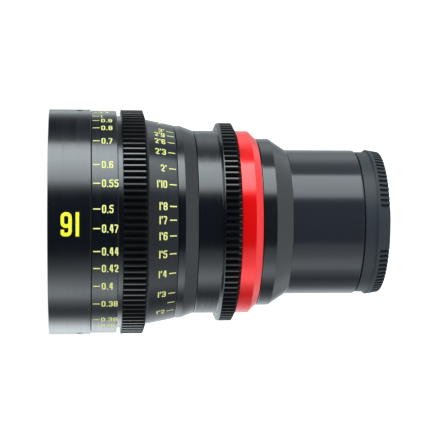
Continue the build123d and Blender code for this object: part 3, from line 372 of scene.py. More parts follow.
def build_index_ring():
    """Fixed index ring: cone and land."""
    inner = bore("index_ring")
    corners = [(inner, INDEX_BACK), (INDEX_CONE_R, INDEX_BACK), (INDEX_R, INDEX_CONE_FRONT)]
    corners += [(INDEX_R, INDEX_FRONT), (inner, INDEX_FRONT)]
    return lathe("index_ring_shell", rounded(corners))


def build_iris_ring():
    """Iris ring: gear with a chamfered back, bevelled collar and sleeve."""
    inner = bore("iris_ring")
    corners = [(inner, IRIS_BACK), (IRIS_CHAMFER_R, IRIS_BACK), (IRIS_TIP, IRIS_CHAMFER_FRONT)]
    corners += [(IRIS_TIP, IRIS_GEAR_FRONT), (IRIS_TIP, IRIS_GEAR_FRONT + TINY), (IRIS_TIP, COLLAR_FRONT)]
    corners += [(COLLAR_R, SLEEVE_BACK), (SLEEVE_R, SLEEVE_BACK), (SLEEVE_R, IRIS_FRONT), (inner, IRIS_FRONT)]
    teeth = gear_stations(IRIS_TEETH, IRIS_TIP)
    return lathe("iris_ring_shell", rounded(corners), teeth, limited(IRIS_BACK, IRIS_GEAR_FRONT))


def build_red_ring():
    """Red accent ring: bevel and land."""
    inner = bore("red_ring")
    corners = [(inner, RED_BACK), (RED_BEVEL_R, RED_BACK), (RED_R, RED_BEVEL_FRONT), (RED_R, RED_FRONT)]
    corners += [(inner, RED_FRONT)]
    return lathe("red_ring_shell", rounded(corners))


def build_rear_barrel():
    """Rear barrel: spigot in the tube, cone, black land and the spigot under the red ring."""
    inner, spigot, foot = bore("rear_barrel"), bore("red_ring") - TINY, bore("mount_tube") - TINY
    corners = [(inner, REAR_BACK), (foot, REAR_BACK), (foot, TUBE_FRONT), (TUBE_R, TUBE_FRONT)]
    corners += [(REAR_R, REAR_CONE_FRONT), (REAR_R, REAR_LAND_FRONT)]
    corners += [(spigot, REAR_LAND_FRONT), (spigot, REAR_FRONT), (inner, REAR_FRONT)]
    return lathe("rear_barrel_shell", rounded(corners))


def build_mount_tube():
    """Mount tube, plain inside and out."""
    inner = bore("mount_tube")
    corners = [(inner, TUBE_BACK), (TUBE_R, TUBE_BACK), (TUBE_R, TUBE_FRONT), (inner, TUBE_FRONT)]
    return lathe("mount_tube_shell", rounded(corners))


def cap_head_radius(z):
    """Radius of the rear cap's tapered head at a height."""
    return CAP_HEAD_R + (CAP_R - CAP_HEAD_R) * (z - CAP_EDGE) / (CAP_HEAD_FRONT - CAP_EDGE)


def build_rear_cap():
    """Rear cap: ribbed head, skirt, floor and rim."""
    full = 2 * math.pi
    first = math.radians(RIB_FIRST)
    half = RIB_WIDTH / CAP_R / 2
    slope = half * RIB_FLANK_SHARE
    angles = []
    for group in range(RIB_GROUPS):
        for k in range(RIB_COUNT):
            a = first + full * group / RIB_GROUPS + math.radians(RIB_PITCH * k)
            angles += [(a - half, 0), (a - half + slope, RIB_DEPTH)]
            angles += [(a + half - slope, RIB_DEPTH), (a + half, 0)]
    taken = [a for a, _ in angles]
    for i in range(PLAIN_STEPS):
        a = first - RIB_CLEAR + full * i / PLAIN_STEPS
        if min(abs((a - t + math.pi) % full - math.pi) for t in taken) > RIB_CLEAR_SHARE * half:
            angles.append((a, 0))
    angles.sort(key=lambda s: (s[0] - first + 2 * RIB_CLEAR) % full)

    def ribs(r, z, depth):
        return (r - depth, z) if z <= RIB_FRONT + TINY / 2 and r > CAP_SKIRT_R - CAP_EDGE else (r, z)

    corners = [(AXIS_HOLE, CAP_BACK)]
    for k in range(CAP_EDGE_STEPS + 1):
        t = math.pi / 2 * k / CAP_EDGE_STEPS
        corners.append((CAP_HEAD_R - CAP_EDGE + CAP_EDGE * math.sin(t), CAP_EDGE - CAP_EDGE * math.cos(t)))
    rib_r = cap_head_radius(RIB_FRONT)
    corners += [(rib_r, RIB_FRONT), (rib_r, RIB_FRONT + TINY), (CAP_R, CAP_HEAD_FRONT)]
    corners += [(CAP_SKIRT_R, CAP_HEAD_FRONT), (CAP_SKIRT_R, CAP_SKIRT_FRONT), (CAP_RIM_R, CAP_SKIRT_FRONT)]
    corners += [(CAP_RIM_R, CAP_FRONT), (CAP_BORE_R, CAP_FRONT), (CAP_BORE_R, CAP_FLOOR)]
    corners += [(AXIS_HOLE, CAP_FLOOR)]
    obj = lathe("rear_cap_shell", rounded(corners, CAP_ROUNDING), angles, ribs)
    bm = bmesh.new()
    bm.from_mesh(obj.data)
    walls = [f for f in bm.faces if all(math.hypot(v.co.x, v.co.y) < AXIS_HOLE + TINY for v in f.verts)]
    bmesh.ops.delete(bm, geom=walls, context="FACES_ONLY")
    bmesh.ops.holes_fill(bm, edges=[e for e in bm.edges if e.is_boundary], sides=0)
    bmesh.ops.recalc_face_normals(bm, faces=bm.faces)
    bm.to_mesh(obj.data)
    bm.free()
    return obj


def build_cap_lugs():
    """The cap's three inner lugs, as one piece."""
    verts, faces = [], []
    steps = LUG_STEPS
    for centre in LUG_ANGLES:
        base = len(verts)
        wall = CAP_BORE_R + TINY
        profile = rounded([(LUG_R, LUG_BACK), (wall, LUG_BACK), (wall, LUG_FRONT), (LUG_R, LUG_FRONT)])
        rows = len(profile)
        for i in range(steps + 1):
            a = math.radians(centre - LUG_SPAN / 2 + LUG_SPAN * i / steps)
            verts += [(r * math.cos(a), r * math.sin(a), z) for r, z in profile]
        for i in range(steps):
            a, b = base + i * rows, base + (i + 1) * rows
            for j in range(rows):
                k = (j + 1) % rows
                faces.append((a + j, b + j, b + k, a + k))
        faces.append(tuple(base + j for j in range(rows)))
        faces.append(tuple(base + steps * rows + j for j in range(rows)))
    return mesh_object("rear_cap_lugs", verts, faces)


# numerals, as strokes in a cell of unit height; "o" is the sign for infinity, as two loops
STROKE = 0.155
DIGIT_W = 0.5
BEND = 0.15
BEND_STEPS = 4
HOOK = 0.2
GAP = 0.12
LEFT, RIGHT = STROKE / 2, DIGIT_W - STROKE / 2
LOW, MID, HIGH = STROKE / 2, 0.5, 1 - STROKE / 2
BOWL = MID + 0.07
TWO_BEND = MID + 0.08
THREE_BAR = LEFT + 0.08
FOUR_STEM, FOUR_TOP, FOUR_BAR = RIGHT - 0.06, RIGHT - 0.16, 0.3
SIX_START = MID - 0.1
SEVEN_FOOT = LEFT + 0.06
DASH = 0.3
LOOP_W, LOOP_LOW, LOOP_HIGH = 0.55, 0.25, 0.75
LOOP_END = 2 * LOOP_W - LEFT
GLYPHS = {
    "0": [("loop", [(LEFT, LOW), (RIGHT, LOW), (RIGHT, HIGH), (LEFT, HIGH)])],
    "1": [("line", [(LEFT, 0), (LEFT, 1)])],
    "2": [
        (
            "line",
            [
                (LEFT, HIGH - HOOK), (LEFT, HIGH), (RIGHT, HIGH),
                (RIGHT, TWO_BEND), (LEFT, LOW), (DIGIT_W, LOW),
            ],
        ),
    ],
    "3": [
        ("line", [(LEFT, HIGH - HOOK), (LEFT, HIGH), (RIGHT, HIGH), (RIGHT, MID), (THREE_BAR, MID)]),
        ("line", [(THREE_BAR, MID), (RIGHT, MID), (RIGHT, LOW), (LEFT, LOW), (LEFT, LOW + HOOK)]),
    ],
    "4": [
        ("line", [(FOUR_STEM, 0), (FOUR_STEM, 1)]),
        ("line", [(FOUR_TOP, 1), (LEFT, FOUR_BAR), (DIGIT_W, FOUR_BAR)]),
    ],
    "5": [
        ("line", [(DIGIT_W, HIGH), (LEFT, HIGH), (LEFT, BOWL)]),
        ("line", [(LEFT, BOWL), (RIGHT, BOWL), (RIGHT, LOW), (LEFT, LOW), (LEFT, LOW + HOOK)]),
    ],
    "6": [
        ("loop", [(LEFT, LOW), (RIGHT, LOW), (RIGHT, BOWL), (LEFT, BOWL)]),
        ("line", [(LEFT, SIX_START), (LEFT, HIGH), (RIGHT, HIGH), (RIGHT, HIGH - HOOK)]),
    ],
    "7": [("line", [(0, HIGH), (RIGHT, HIGH), (SEVEN_FOOT, 0)])],
    "8": [
        ("loop", [(LEFT, LOW), (RIGHT, LOW), (RIGHT, MID), (LEFT, MID)]),
        ("loop", [(LEFT, MID), (RIGHT, MID), (RIGHT, HIGH), (LEFT, HIGH)]),
    ],
    ".": [("line", [(LEFT, 0), (LEFT, STROKE)])],
    "'": [("line", [(LEFT, 1 - DASH), (LEFT, 1)])],
    "o": [
        ("loop", [(LEFT, LOOP_LOW), (LOOP_W, LOOP_LOW), (LOOP_W, LOOP_HIGH), (LEFT, LOOP_HIGH)]),
        ("loop", [(LOOP_W, LOOP_LOW), (LOOP_END, LOOP_LOW), (LOOP_END, LOOP_HIGH), (LOOP_W, LOOP_HIGH)]),
    ],
}
GLYPHS["9"] = [(kind, [(DIGIT_W - x, 1 - y) for x, y in pts]) for kind, pts in GLYPHS["6"]]
WIDTHS = {"1": STROKE, ".": STROKE, "'": STROKE, "o": 2 * LOOP_W}
# longest side of a stroke's quads, the distances at which points are one, and the sharpest mitre
FINE = 0.09
SAME_POINT = 1e-4
SAME_CORNER = 1e-5
LEAST_MITRE = 0.5
MADE_GLYPHS = {}


def ribbon(points, closed):
    """Quads of one stroke, as pairs of side points."""
    pts = rounded(points, BEND, closed, BEND_STEPS) if len(points) > 2 else [Vector(p) for p in points]
    fine = []
    ends = list(zip(pts, pts[1:] + pts[:1])) if closed else list(zip(pts, pts[1:]))
    for a, b in ends:
        parts = max(1, math.ceil((b - a).length / FINE))
        fine += [a.lerp(b, k / parts) for k in range(parts)]
    if not closed:
        fine.append(pts[-1])
    fine = [p for i, p in enumerate(fine) if i == 0 or (p - fine[i - 1]).length > SAME_POINT]
    sides, count = [], len(fine)
    for i, p in enumerate(fine):
        before = p - fine[i - 1] if closed or i else fine[1] - p
        after = fine[(i + 1) % count] - p if closed or i < count - 1 else p - fine[i - 1]
        before, after = before.normalized(), after.normalized()
        along = (before + after).normalized()
        across = Vector((-along.y, along.x)) * (STROKE / 2 / max(LEAST_MITRE, along.dot(after)))
        sides.append((p + across, p - across))
    pairs = list(zip(sides, sides[1:] + sides[:1])) if closed else list(zip(sides, sides[1:]))
    return [(a[0], a[1], b[1], b[0]) for a, b in pairs]


def flat_union(quads):
    """Triangles of the union of overlapping quads."""
    verts = [p for q in quads for p in q]
    faces = [tuple(range(4 * i, 4 * i + 4)) for i in range(len(quads))]
    v, _, f, _, _, source = delaunay_2d_cdt(verts, [], faces, 0, SAME_CORNER, True)
    return [Vector(p) for p in v], [t for t, s in zip(f, source) if s]


def glyph(char):
    """Triangles and width of a character of unit height, made once."""
    if char not in MADE_GLYPHS:
        quads = [q for kind, pts in GLYPHS[char] for q in ribbon(pts, kind == "loop")]
        MADE_GLYPHS[char] = (*flat_union(quads), WIDTHS.get(char, DIGIT_W))
    return MADE_GLYPHS[char]


def text_flat(text, height, gap=GAP, wide=1.0):
    """Triangles of a line of text, its width, with the lower left corner at the origin."""
    verts, faces, x = [], [], 0.0
    for char in text:
        v, f, width = glyph(char)
        base = len(verts)
        verts += [Vector(((p.x + x) * height * wide, p.y * height)) for p in v]
        faces += [tuple(base + i for i in t) for t in f]
        x += width + gap
    return verts, faces, (x - gap) * height * wide


def bar_flat(length, thick):
    """Grid of a bar along x, centred on y."""
    cols, rows = max(1, math.ceil(length / BAR_CELL)), max(1, math.ceil(thick / BAR_CELL))
    verts, faces = [], []
    for i in range(cols + 1):
        verts += [Vector((length * i / cols, thick * (j / rows - 0.5))) for j in range(rows + 1)]
    for i in range(cols):
        for j in range(rows):
            a = i * (rows + 1) + j
            faces.append((a, a + rows + 1, a + rows + 2, a + 1))
    return verts, faces


class Paint:
    """Thin raised paint on a surface of revolution, gathered into one mesh."""

    def __init__(self, radius_at):
        self.radius_at, self.verts, self.faces = radius_at, [], []

    def add(self, flat, z, angle, flip=False):
        """flat is (verts, faces); x runs to -Z and y to growing angle, or both the other way if flipped."""
        points, tris = flat[0], flat[1]
        sign = -1 if flip else 1
        base, count = len(self.verts), len(points)
        for lift in (PAINT, -PAINT):
            for p in points:
                height = z - sign * p.x
                r = self.radius_at(height)
                a = math.radians(angle) + sign * p.y / r
                self.verts.append(((r + lift) * math.cos(a), (r + lift) * math.sin(a), height))
        used = {}
        for t in tris:
            self.faces.append(tuple(base + i for i in t))
            self.faces.append(tuple(base + count + i for i in reversed(t)))
            for a, b in zip(t, t[1:] + t[:1]):
                used[frozenset((a, b))] = (a, b) if frozenset((a, b)) not in used else None
        for pair in filter(None, used.values()):
            a, b = pair
            self.faces.append((base + a, base + count + a, base + count + b, base + b))

    def centred(self, text, height, z, angle, right=False, gap=GAP):
        """Text centred across its height at an angle, starting at z, or ending there if right is set."""
        verts, faces, width = text_flat(text, height, gap)
        shift = Vector((-width if right else 0, -height / 2))
        self.add(([p + shift for p in verts], faces), z, angle)

    def build(self, name):
        """The gathered paint as one object."""
        return mesh_object(name, self.verts, self.faces, PAINT_SMOOTH_ANGLE)


# scales: a distance mark lies at A - B / (metres - C) degrees from the photographed side
FACING = -90
FOOT = 0.3048
INCHES = 12
CURVE_A, CURVE_B, CURVE_C = 114.711, 40.899, 0.12334
# figures of the scales, with the marks that have no figure
METRES = ("0.35", "0.36", "0.38", "0.4", "0.42", "0.44", "0.47", "0.5", "0.55", "0.6", "0.7", "0.8", "0.9")
METRES += ("1", "1.2", "1.5", "2", "3", "5")
FEET = ((1, 2), (1, 3), (1, 4), (1, 5), (1, 6), (1, 7), (1, 8), (1, 10), (2, 0), (2, 3), (2, 6), (2, 9))
FEET += ((3, 0), (4, 0), (5, 0), (7, 0), (10, 0), (20, 0))
BARE_FEET = 1 + 2.5 / INCHES
STOPS = (2.5, 2.8, 4, 5.6, 8, 11, 16, 22)
BARE_STOP = 2.8
IRIS_THROW = 75
INDEX_ANGLE = CURVE_A + FACING
# sizes of figures and lines
TEXT_H = 3.0 * MM
STOP_TEXT_H = 2.7 * MM
TICK = 0.44 * MM
TICK_LENGTH = 2.6 * MM
BAR_CELL = 0.8 * MM
METRE_MARGIN, METRE_GAP = 0.5 * MM, 0.6 * MM
FEET_MARGIN, FEET_GAP, FEET_LETTER_GAP = 0.6 * MM, 0.9 * MM, GAP * 0.8
STOP_MARGIN, STOP_GAP = 0.4 * MM, 0.5 * MM
FOCAL, FOCAL_H, FOCAL_DROP = "16", 8.8 * MM, 8.17 * MM
FOCAL_TURN, FOCAL_GAP, FOCAL_WIDTH = -1.2, 0.17, 0.92
INDEX_LINE, INDEX_LINE_TOP, INDEX_MARGIN = 6.0 * MM, 6.6 * MM, 0.3 * MM


def distance_angle(metres):
    """Angle on the focus ring of a distance mark."""
    return INDEX_ANGLE - CURVE_B / (metres - CURVE_C)


def build_metre_scale():
    """Metre scale on the focus ring's front land."""
    paint = Paint(lambda z: LAND_R)
    start = FOCUS_FRONT - METRE_MARGIN
    marks = [(text, distance_angle(float(text))) for text in METRES] + [("o", INDEX_ANGLE)]
    for text, a in marks:
        paint.add(bar_flat(TICK_LENGTH, TICK), start, a)
        paint.centred(text, TEXT_H, start - TICK_LENGTH - METRE_GAP, a)
    return paint.build("metre_scale")


def build_feet_scale():
    """Feet scale on the focus ring's rear cone."""
    slope = (CONE_FRONT_R - CONE_BACK_R) / (SHOULDER_BACK - FOCUS_BACK)
    paint = Paint(lambda z: CONE_BACK_R + slope * (z - FOCUS_BACK))
    end = FOCUS_BACK + FEET_MARGIN + TICK_LENGTH
    for feet, inches in FEET:
        a = distance_angle((feet + inches / INCHES) * FOOT)
        paint.add(bar_flat(TICK_LENGTH, TICK), end, a)
        text = f"{feet}'{inches or ''}"
        paint.centred(text, TEXT_H, end + FEET_GAP, a, right=True, gap=FEET_LETTER_GAP)
    paint.add(bar_flat(TICK_LENGTH, TICK), end, distance_angle(BARE_FEET * FOOT))
    paint.add(bar_flat(TICK_LENGTH, TICK), end, INDEX_ANGLE)
    paint.centred("o", TEXT_H, end + FEET_GAP, INDEX_ANGLE, right=True)
    return paint.build("feet_scale")


def build_focal_mark():
    """Large focal length on the front barrel, upside down to the scales, and the index line."""
    paint = Paint(lambda z: FRONT_R)
    verts, faces, width = text_flat(FOCAL, FOCAL_H, FOCAL_GAP, FOCAL_WIDTH)
    shift = Vector((-width / 2, -FOCAL_H / 2))
    paint.add(([p + shift for p in verts], faces), TOTAL - FOCAL_DROP, FACING + FOCAL_TURN, flip=True)
    paint.add(bar_flat(INDEX_LINE, TICK), BARREL_BACK + INDEX_LINE_TOP, INDEX_ANGLE)
    return paint.build("focal_mark")


def build_index_mark():
    """Index line on the index ring."""
    paint = Paint(lambda z: INDEX_R)
    length = INDEX_FRONT - INDEX_CONE_FRONT - 2 * INDEX_MARGIN
    paint.add(bar_flat(length, TICK), INDEX_FRONT - INDEX_MARGIN, INDEX_ANGLE)
    return paint.build("index_mark")


def build_stop_scale():
    """Stop scale on the iris ring's sleeve, in equal steps of exposure."""
    paint = Paint(lambda z: SLEEVE_R)
    start = IRIS_FRONT - STOP_MARGIN
    first, last = math.log2(STOPS[0]), math.log2(STOPS[-1])
    for stop in STOPS:
        a = INDEX_ANGLE + IRIS_THROW * (math.log2(stop) - first) / (last - first)
        paint.add(bar_flat(TICK_LENGTH, TICK), start, a)
        if stop != BARE_STOP:
            paint.centred(f"{stop:g}", STOP_TEXT_H, start - TICK_LENGTH - STOP_GAP, a)
    return paint.build("stop_scale")


# materials: scales of the patterns, relief, and values shared by several finishes
NOISE_FROM, NOISE_TO = 0.3, 0.7
TURNED = (18, 18, 2600)
GRAIN = (2500, 2500, 2500)
CLOUDS = (60, 60, 60)
RELIEF = 0.02 * MM
GRAIN_SPREAD = 0.05
COATING = 1.38
GLASS = 1.6
BLACK = (0.004, 0.0048, 0.006)
DEEP_BLACK = (0.0015, 0.0025, 0.0045)
DULL_BLACK = (0.012, 0.012, 0.013)
# near black painted on the bayonet's outer rim as painted shade, and the width of that rim
RIM_SHADE = (0.005, 0.005, 0.006)
RIM_WIDTH = 0.3 * MM
ANISOTROPY, GROOVE_TURN = 0.4, 0.25
GROOVES = 0.02
GRAIN_DETAIL = 3.0
PAINT_SPECULAR = 0.3
PAINT_ROUGH = (0.5, 0.65)
GLASS_ROUGH = (0.0, 0.01)
# turned metal: name, colour, roughness, its spread, specular level, metallic
TURNED_METALS = (
    ("black_anodised", BLACK, 0.3, 0.05, 0.7, 0.0),
    ("front_black", DEEP_BLACK, 0.2, 0.05, 0.7, 0.0),
    ("focus_black", DEEP_BLACK, 0.19, 0.05, 0.7, 0.0),
    ("index_black", DEEP_BLACK, 0.17, 0.05, 0.7, 0.0),
    ("iris_black", DEEP_BLACK, 0.18, 0.05, 0.7, 0.0),
    ("rear_black", BLACK, 0.09, 0.02, 0.7, 0.0),
    ("tube_black", (0.0105, 0.0125, 0.0165), 0.08, 0.02, 0.5, 0.0),
    ("red_anodised", (0.7, 0.0, 0.0006), 0.12, 0.03, 1.0, 0.4),
    ("helicoid_brass", (0.72, 0.5, 0.22), 0.3, 0.04, 0.5, 1.0),
    ("bright_steel", (0.6, 0.6, 0.61), 0.25, 0.04, 0.5, 1.0),
)
PLATED_MOUNTS = (("plated_bayonet", (0.62, 0.62, 0.63), 0.22, 0.04, 0.5, 1.0),)
# mouldings and dry coatings: name, colour, roughness, strength of the grain, specular level
MOULDINGS = (
    # milled_black: painted shade for the gaps between gear teeth, darker and duller than the rings' black
    ("milled_black", (0.003, 0.003, 0.0035), 0.6, 0.05, 0.08),
    # rib_gap: painted shade for the grooves between the cap's ribs, darker and duller than the cap
    ("rib_gap", (0.0065, 0.0085, 0.011), 0.6, 0.05, 0.15),
    ("cap_plastic", (0.013, 0.018, 0.023), 0.45, 0.1, 0.35),
    ("inner_black", DULL_BLACK, 0.6, 0.15, 0.5),
    ("baffle_plastic", (0.01, 0.01, 0.01), 0.6, 0.15, 0.5),
    ("black_screws", DULL_BLACK, 0.3, 0.15, 0.5),
    ("blade_steel", (0.02, 0.02, 0.021), 0.45, 0.15, 0.5),
)
# marking paint: name, colour
PAINTS = (
    ("yellow_paint", (0.55, 0.55, 0.012)),
    ("scale_paint", (0.52, 0.54, 0.18)),
    ("pale_paint", (0.8, 0.8, 0.3)),
)
# optical glass: name, colour, thickness of the coating in nanometres
GLASSES = (("coated_glass", (0.95, 0.98, 0.97), 420.0),)


class Nodes:
    """Small helper round a material's node tree."""

    def __init__(self, name):
        self.material = bpy.data.materials.new(name)
        self.material.use_nodes = True
        self.tree = self.material.node_tree
        self.shader = self.tree.nodes["Principled BSDF"]

    def node(self, kind, **values):
        """A new node with its settings."""
        made = self.tree.nodes.new(kind)
        for key, value in values.items():
            setattr(made, key, value)
        return made

    def link(self, a, b):
        """Joins an output to an input."""
        self.tree.links.new(a, b)

    def set(self, **values):
        """Values of the main shader, by the names of its inputs."""
        for key, value in values.items():
            self.shader.inputs[key.replace("_", " ")].default_value = value

    def scaled(self, scale):
        """Object coordinates stretched by a scale per axis."""
        place = self.node("ShaderNodeTexCoord")
        mapping = self.node("ShaderNodeMapping")
        mapping.inputs["Scale"].default_value = scale
        self.link(place.outputs["Object"], mapping.inputs["Vector"])
        return mapping.outputs["Vector"]

    def noise(self, scale, detail=2.0):
        """Noise stretched by a scale per axis."""
        made = self.node("ShaderNodeTexNoise")
        made.inputs["Scale"].default_value = 1.0
        made.inputs["Detail"].default_value = detail
        self.link(self.scaled(scale), made.inputs["Vector"])
        return made.outputs["Fac"]

    def between(self, fac, low, high):
        """The pattern spread from one value to another."""
        made = self.node("ShaderNodeMapRange")
        made.inputs["From Min"].default_value = NOISE_FROM
        made.inputs["From Max"].default_value = NOISE_TO
        made.inputs["To Min"].default_value = low
        made.inputs["To Max"].default_value = high
        self.link(fac, made.inputs["Value"])
        return made.outputs["Result"]

    def bump(self, fac, strength):
        """Fine relief from a pattern."""
        made = self.node("ShaderNodeBump")
        made.inputs["Strength"].default_value = strength
        made.inputs["Distance"].default_value = RELIEF
        self.link(fac, made.inputs["Height"])
        self.link(made.outputs["Normal"], self.shader.inputs["Normal"])


def turned(name, color, rough, spread, specular, metallic):
    """Turned and anodised metal: fine rings round the axis in the roughness and the relief."""
    n = Nodes(name)
    n.set(Base_Color=(*color, 1), Metallic=metallic, Specular_IOR_Level=specular)
    n.set(Anisotropic=ANISOTROPY, Anisotropic_Rotation=GROOVE_TURN)
    rings = n.noise(TURNED)
    n.link(n.between(rings, rough - spread, rough + spread), n.shader.inputs["Roughness"])
    tangent = n.node("ShaderNodeTangent", direction_type="RADIAL", axis="Z")
    n.link(tangent.outputs["Tangent"], n.shader.inputs["Tangent"])
    n.bump(rings, GROOVES)
    return n.material


def moulded(name, color, rough, strength, specular):
    """Moulded plastic or dry coating with a fine grain."""
    n = Nodes(name)
    n.set(Base_Color=(*color, 1), Specular_IOR_Level=specular)
    grain = n.noise(GRAIN, GRAIN_DETAIL)
    n.link(n.between(grain, rough - GRAIN_SPREAD, rough + GRAIN_SPREAD), n.shader.inputs["Roughness"])
    n.bump(grain, strength)
    return n.material


def printed(name, color):
    """Marking paint."""
    n = Nodes(name)
    n.set(Base_Color=(*color, 1), Specular_IOR_Level=PAINT_SPECULAR)
    n.link(n.between(n.noise(GRAIN), *PAINT_ROUGH), n.shader.inputs["Roughness"])
    return n.material


def plated_mount(name, color, *finish):
    """Bright metal whose outer rim is painted near black and non-metallic: painted shade where the light from
    below would make the rim bright.
    """
    material = turned(name, color, *finish)
    tree = material.node_tree
    shader = tree.nodes["Principled BSDF"]
    place = tree.nodes.new("ShaderNodeTexCoord")
    flat = tree.nodes.new("ShaderNodeVectorMath")
    flat.operation = "MULTIPLY"
    flat.inputs[1].default_value = (1, 1, 0)
    length = tree.nodes.new("ShaderNodeVectorMath")
    length.operation = "LENGTH"
    # inside this radius the metal stays bright; the rim outside it gets the painted shade
    within = tree.nodes.new("ShaderNodeMath")
    within.operation = "LESS_THAN"
    within.inputs[1].default_value = reach("mount_bayonet") - RIM_WIDTH
    mix = tree.nodes.new("ShaderNodeMix")
    mix.data_type = "RGBA"
    mix.inputs["A"].default_value = (*RIM_SHADE, 1)
    mix.inputs["B"].default_value = (*color, 1)
    for a, b in (
        (place.outputs["Object"], flat.inputs[0]),
        (flat.outputs[0], length.inputs[0]),
        (length.outputs["Value"], within.inputs[0]),
        (within.outputs[0], shader.inputs["Metallic"]),
        (within.outputs[0], mix.inputs["Factor"]),
        (mix.outputs["Result"], shader.inputs["Base Color"]),
    ):
        tree.links.new(a, b)
    return material


def glass(name, color, film):
    """Coated optical glass."""
    n = Nodes(name)
    n.set(Base_Color=(*color, 1), IOR=GLASS, Transmission_Weight=1.0)
    n.set(Thin_Film_Thickness=film, Thin_Film_IOR=COATING)
    n.link(n.between(n.noise(CLOUDS), *GLASS_ROUGH), n.shader.inputs["Roughness"])
    return n.material


def make_materials():
    """Materials by name: one per slot of the record, and the finishes of single rings."""
    tables = (
        (turned, TURNED_METALS),
        (plated_mount, PLATED_MOUNTS),
        (moulded, MOULDINGS),
        (printed, PAINTS),
        (glass, GLASSES),
    )
    return {row[0]: make(*row) for make, rows in tables for row in rows}


def paint_with(obj, material):
    """Gives an object one material."""
    obj.data.materials.clear()
    obj.data.materials.append(material)


# studio
# Brightness of the sky round the axis, for the front rings and for the tube behind them:
# angle from the photographed side towards +X, and strength
SKY_FRONT = (
    (-180, 0.8), (-160, 1.3), (-149, 2.4), (-133, 3.6), (-122, 2.4), (-112, 0.6), (-103, 0.3), (-95, 0.55),
    (-87, 1.45), (-80, 3.0), (-74, 3.3), (-67, 2.5), (-61, 1.85), (-55, 1.3), (-49, 0.75), (-44, 0.5),
    (-38, 0.22), (-33, 0.08), (-25, 0.03), (25, 0.03), (32, 0.4), (36, 1.3), (42, 4.3), (47, 5.4),
    (53, 6.2), (65, 7.7), (78, 7.7), (84, 6.4), (88, 1.0), (92, 0.4), (100, 0.25), (108, 0.05), (117, 0.02),
    (128, 0.1), (142, 0.8), (150, 1.3), (165, 0.45), (180, 0.5),
)
SKY_REAR = (
    (-180, 1.0), (-143, 1.1), (-133, 0.8), (-122, 0.45), (-112, 0.35), (-104, 0.2), (-95, 0.45), (-87, 0.85),
    (-80, 1.5), (-73, 1.85), (-64, 1.65), (-55, 1.1), (-46, 0.85), (-38, 0.6), (-31, 0.15), (-25, 0.05),
    (27, 0.06), (33, 0.35), (37, 1.3), (40, 3.1), (44, 4.0), (50, 4.6), (57, 4.8), (66, 5.1), (76, 5.2),
    (81, 1.2), (84, 0.5), (93, 0.45), (101, 0.55), (110, 1.0), (118, 1.3), (126, 1.2), (139, 0.7), (156, 0.7),
    (180, 0.7),
)
# strength of the light from below and of the even light on diffuse surfaces
BELOW = 1.05
AMBIENT = 0.42
TINT = (0.88, 0.965, 1.0)
WHITE = (1, 1, 1)
# heights of a reflection's direction between which one part of the sky gives way to the next
TO_REAR = (-0.03, -0.08)
TO_DARK = (-0.2, -0.5)
TO_BELOW = (-0.24, -0.66)
# soft lights: name, place, diameter, power
LIGHTS = (
    ("fill_front", (0.35, -1.1, 0.45), 0.9, 5.5),
    ("fill_low", (-0.5, -0.9, 0.1), 0.7, 2.0),
)
FLOOR_WIDE = 4.0
FLOOR_COLOR = (0.8, 0.8, 0.8)
FLOOR_ROUGH = 0.9
FLOOR_GLOW = 0.75
CAMERA_AT = (0, -0.56, 0.1183)
CAMERA_TO = (0.0007, 0, 0.0628)
SENSOR = 36
FOCAL_LENGTH = 115.9


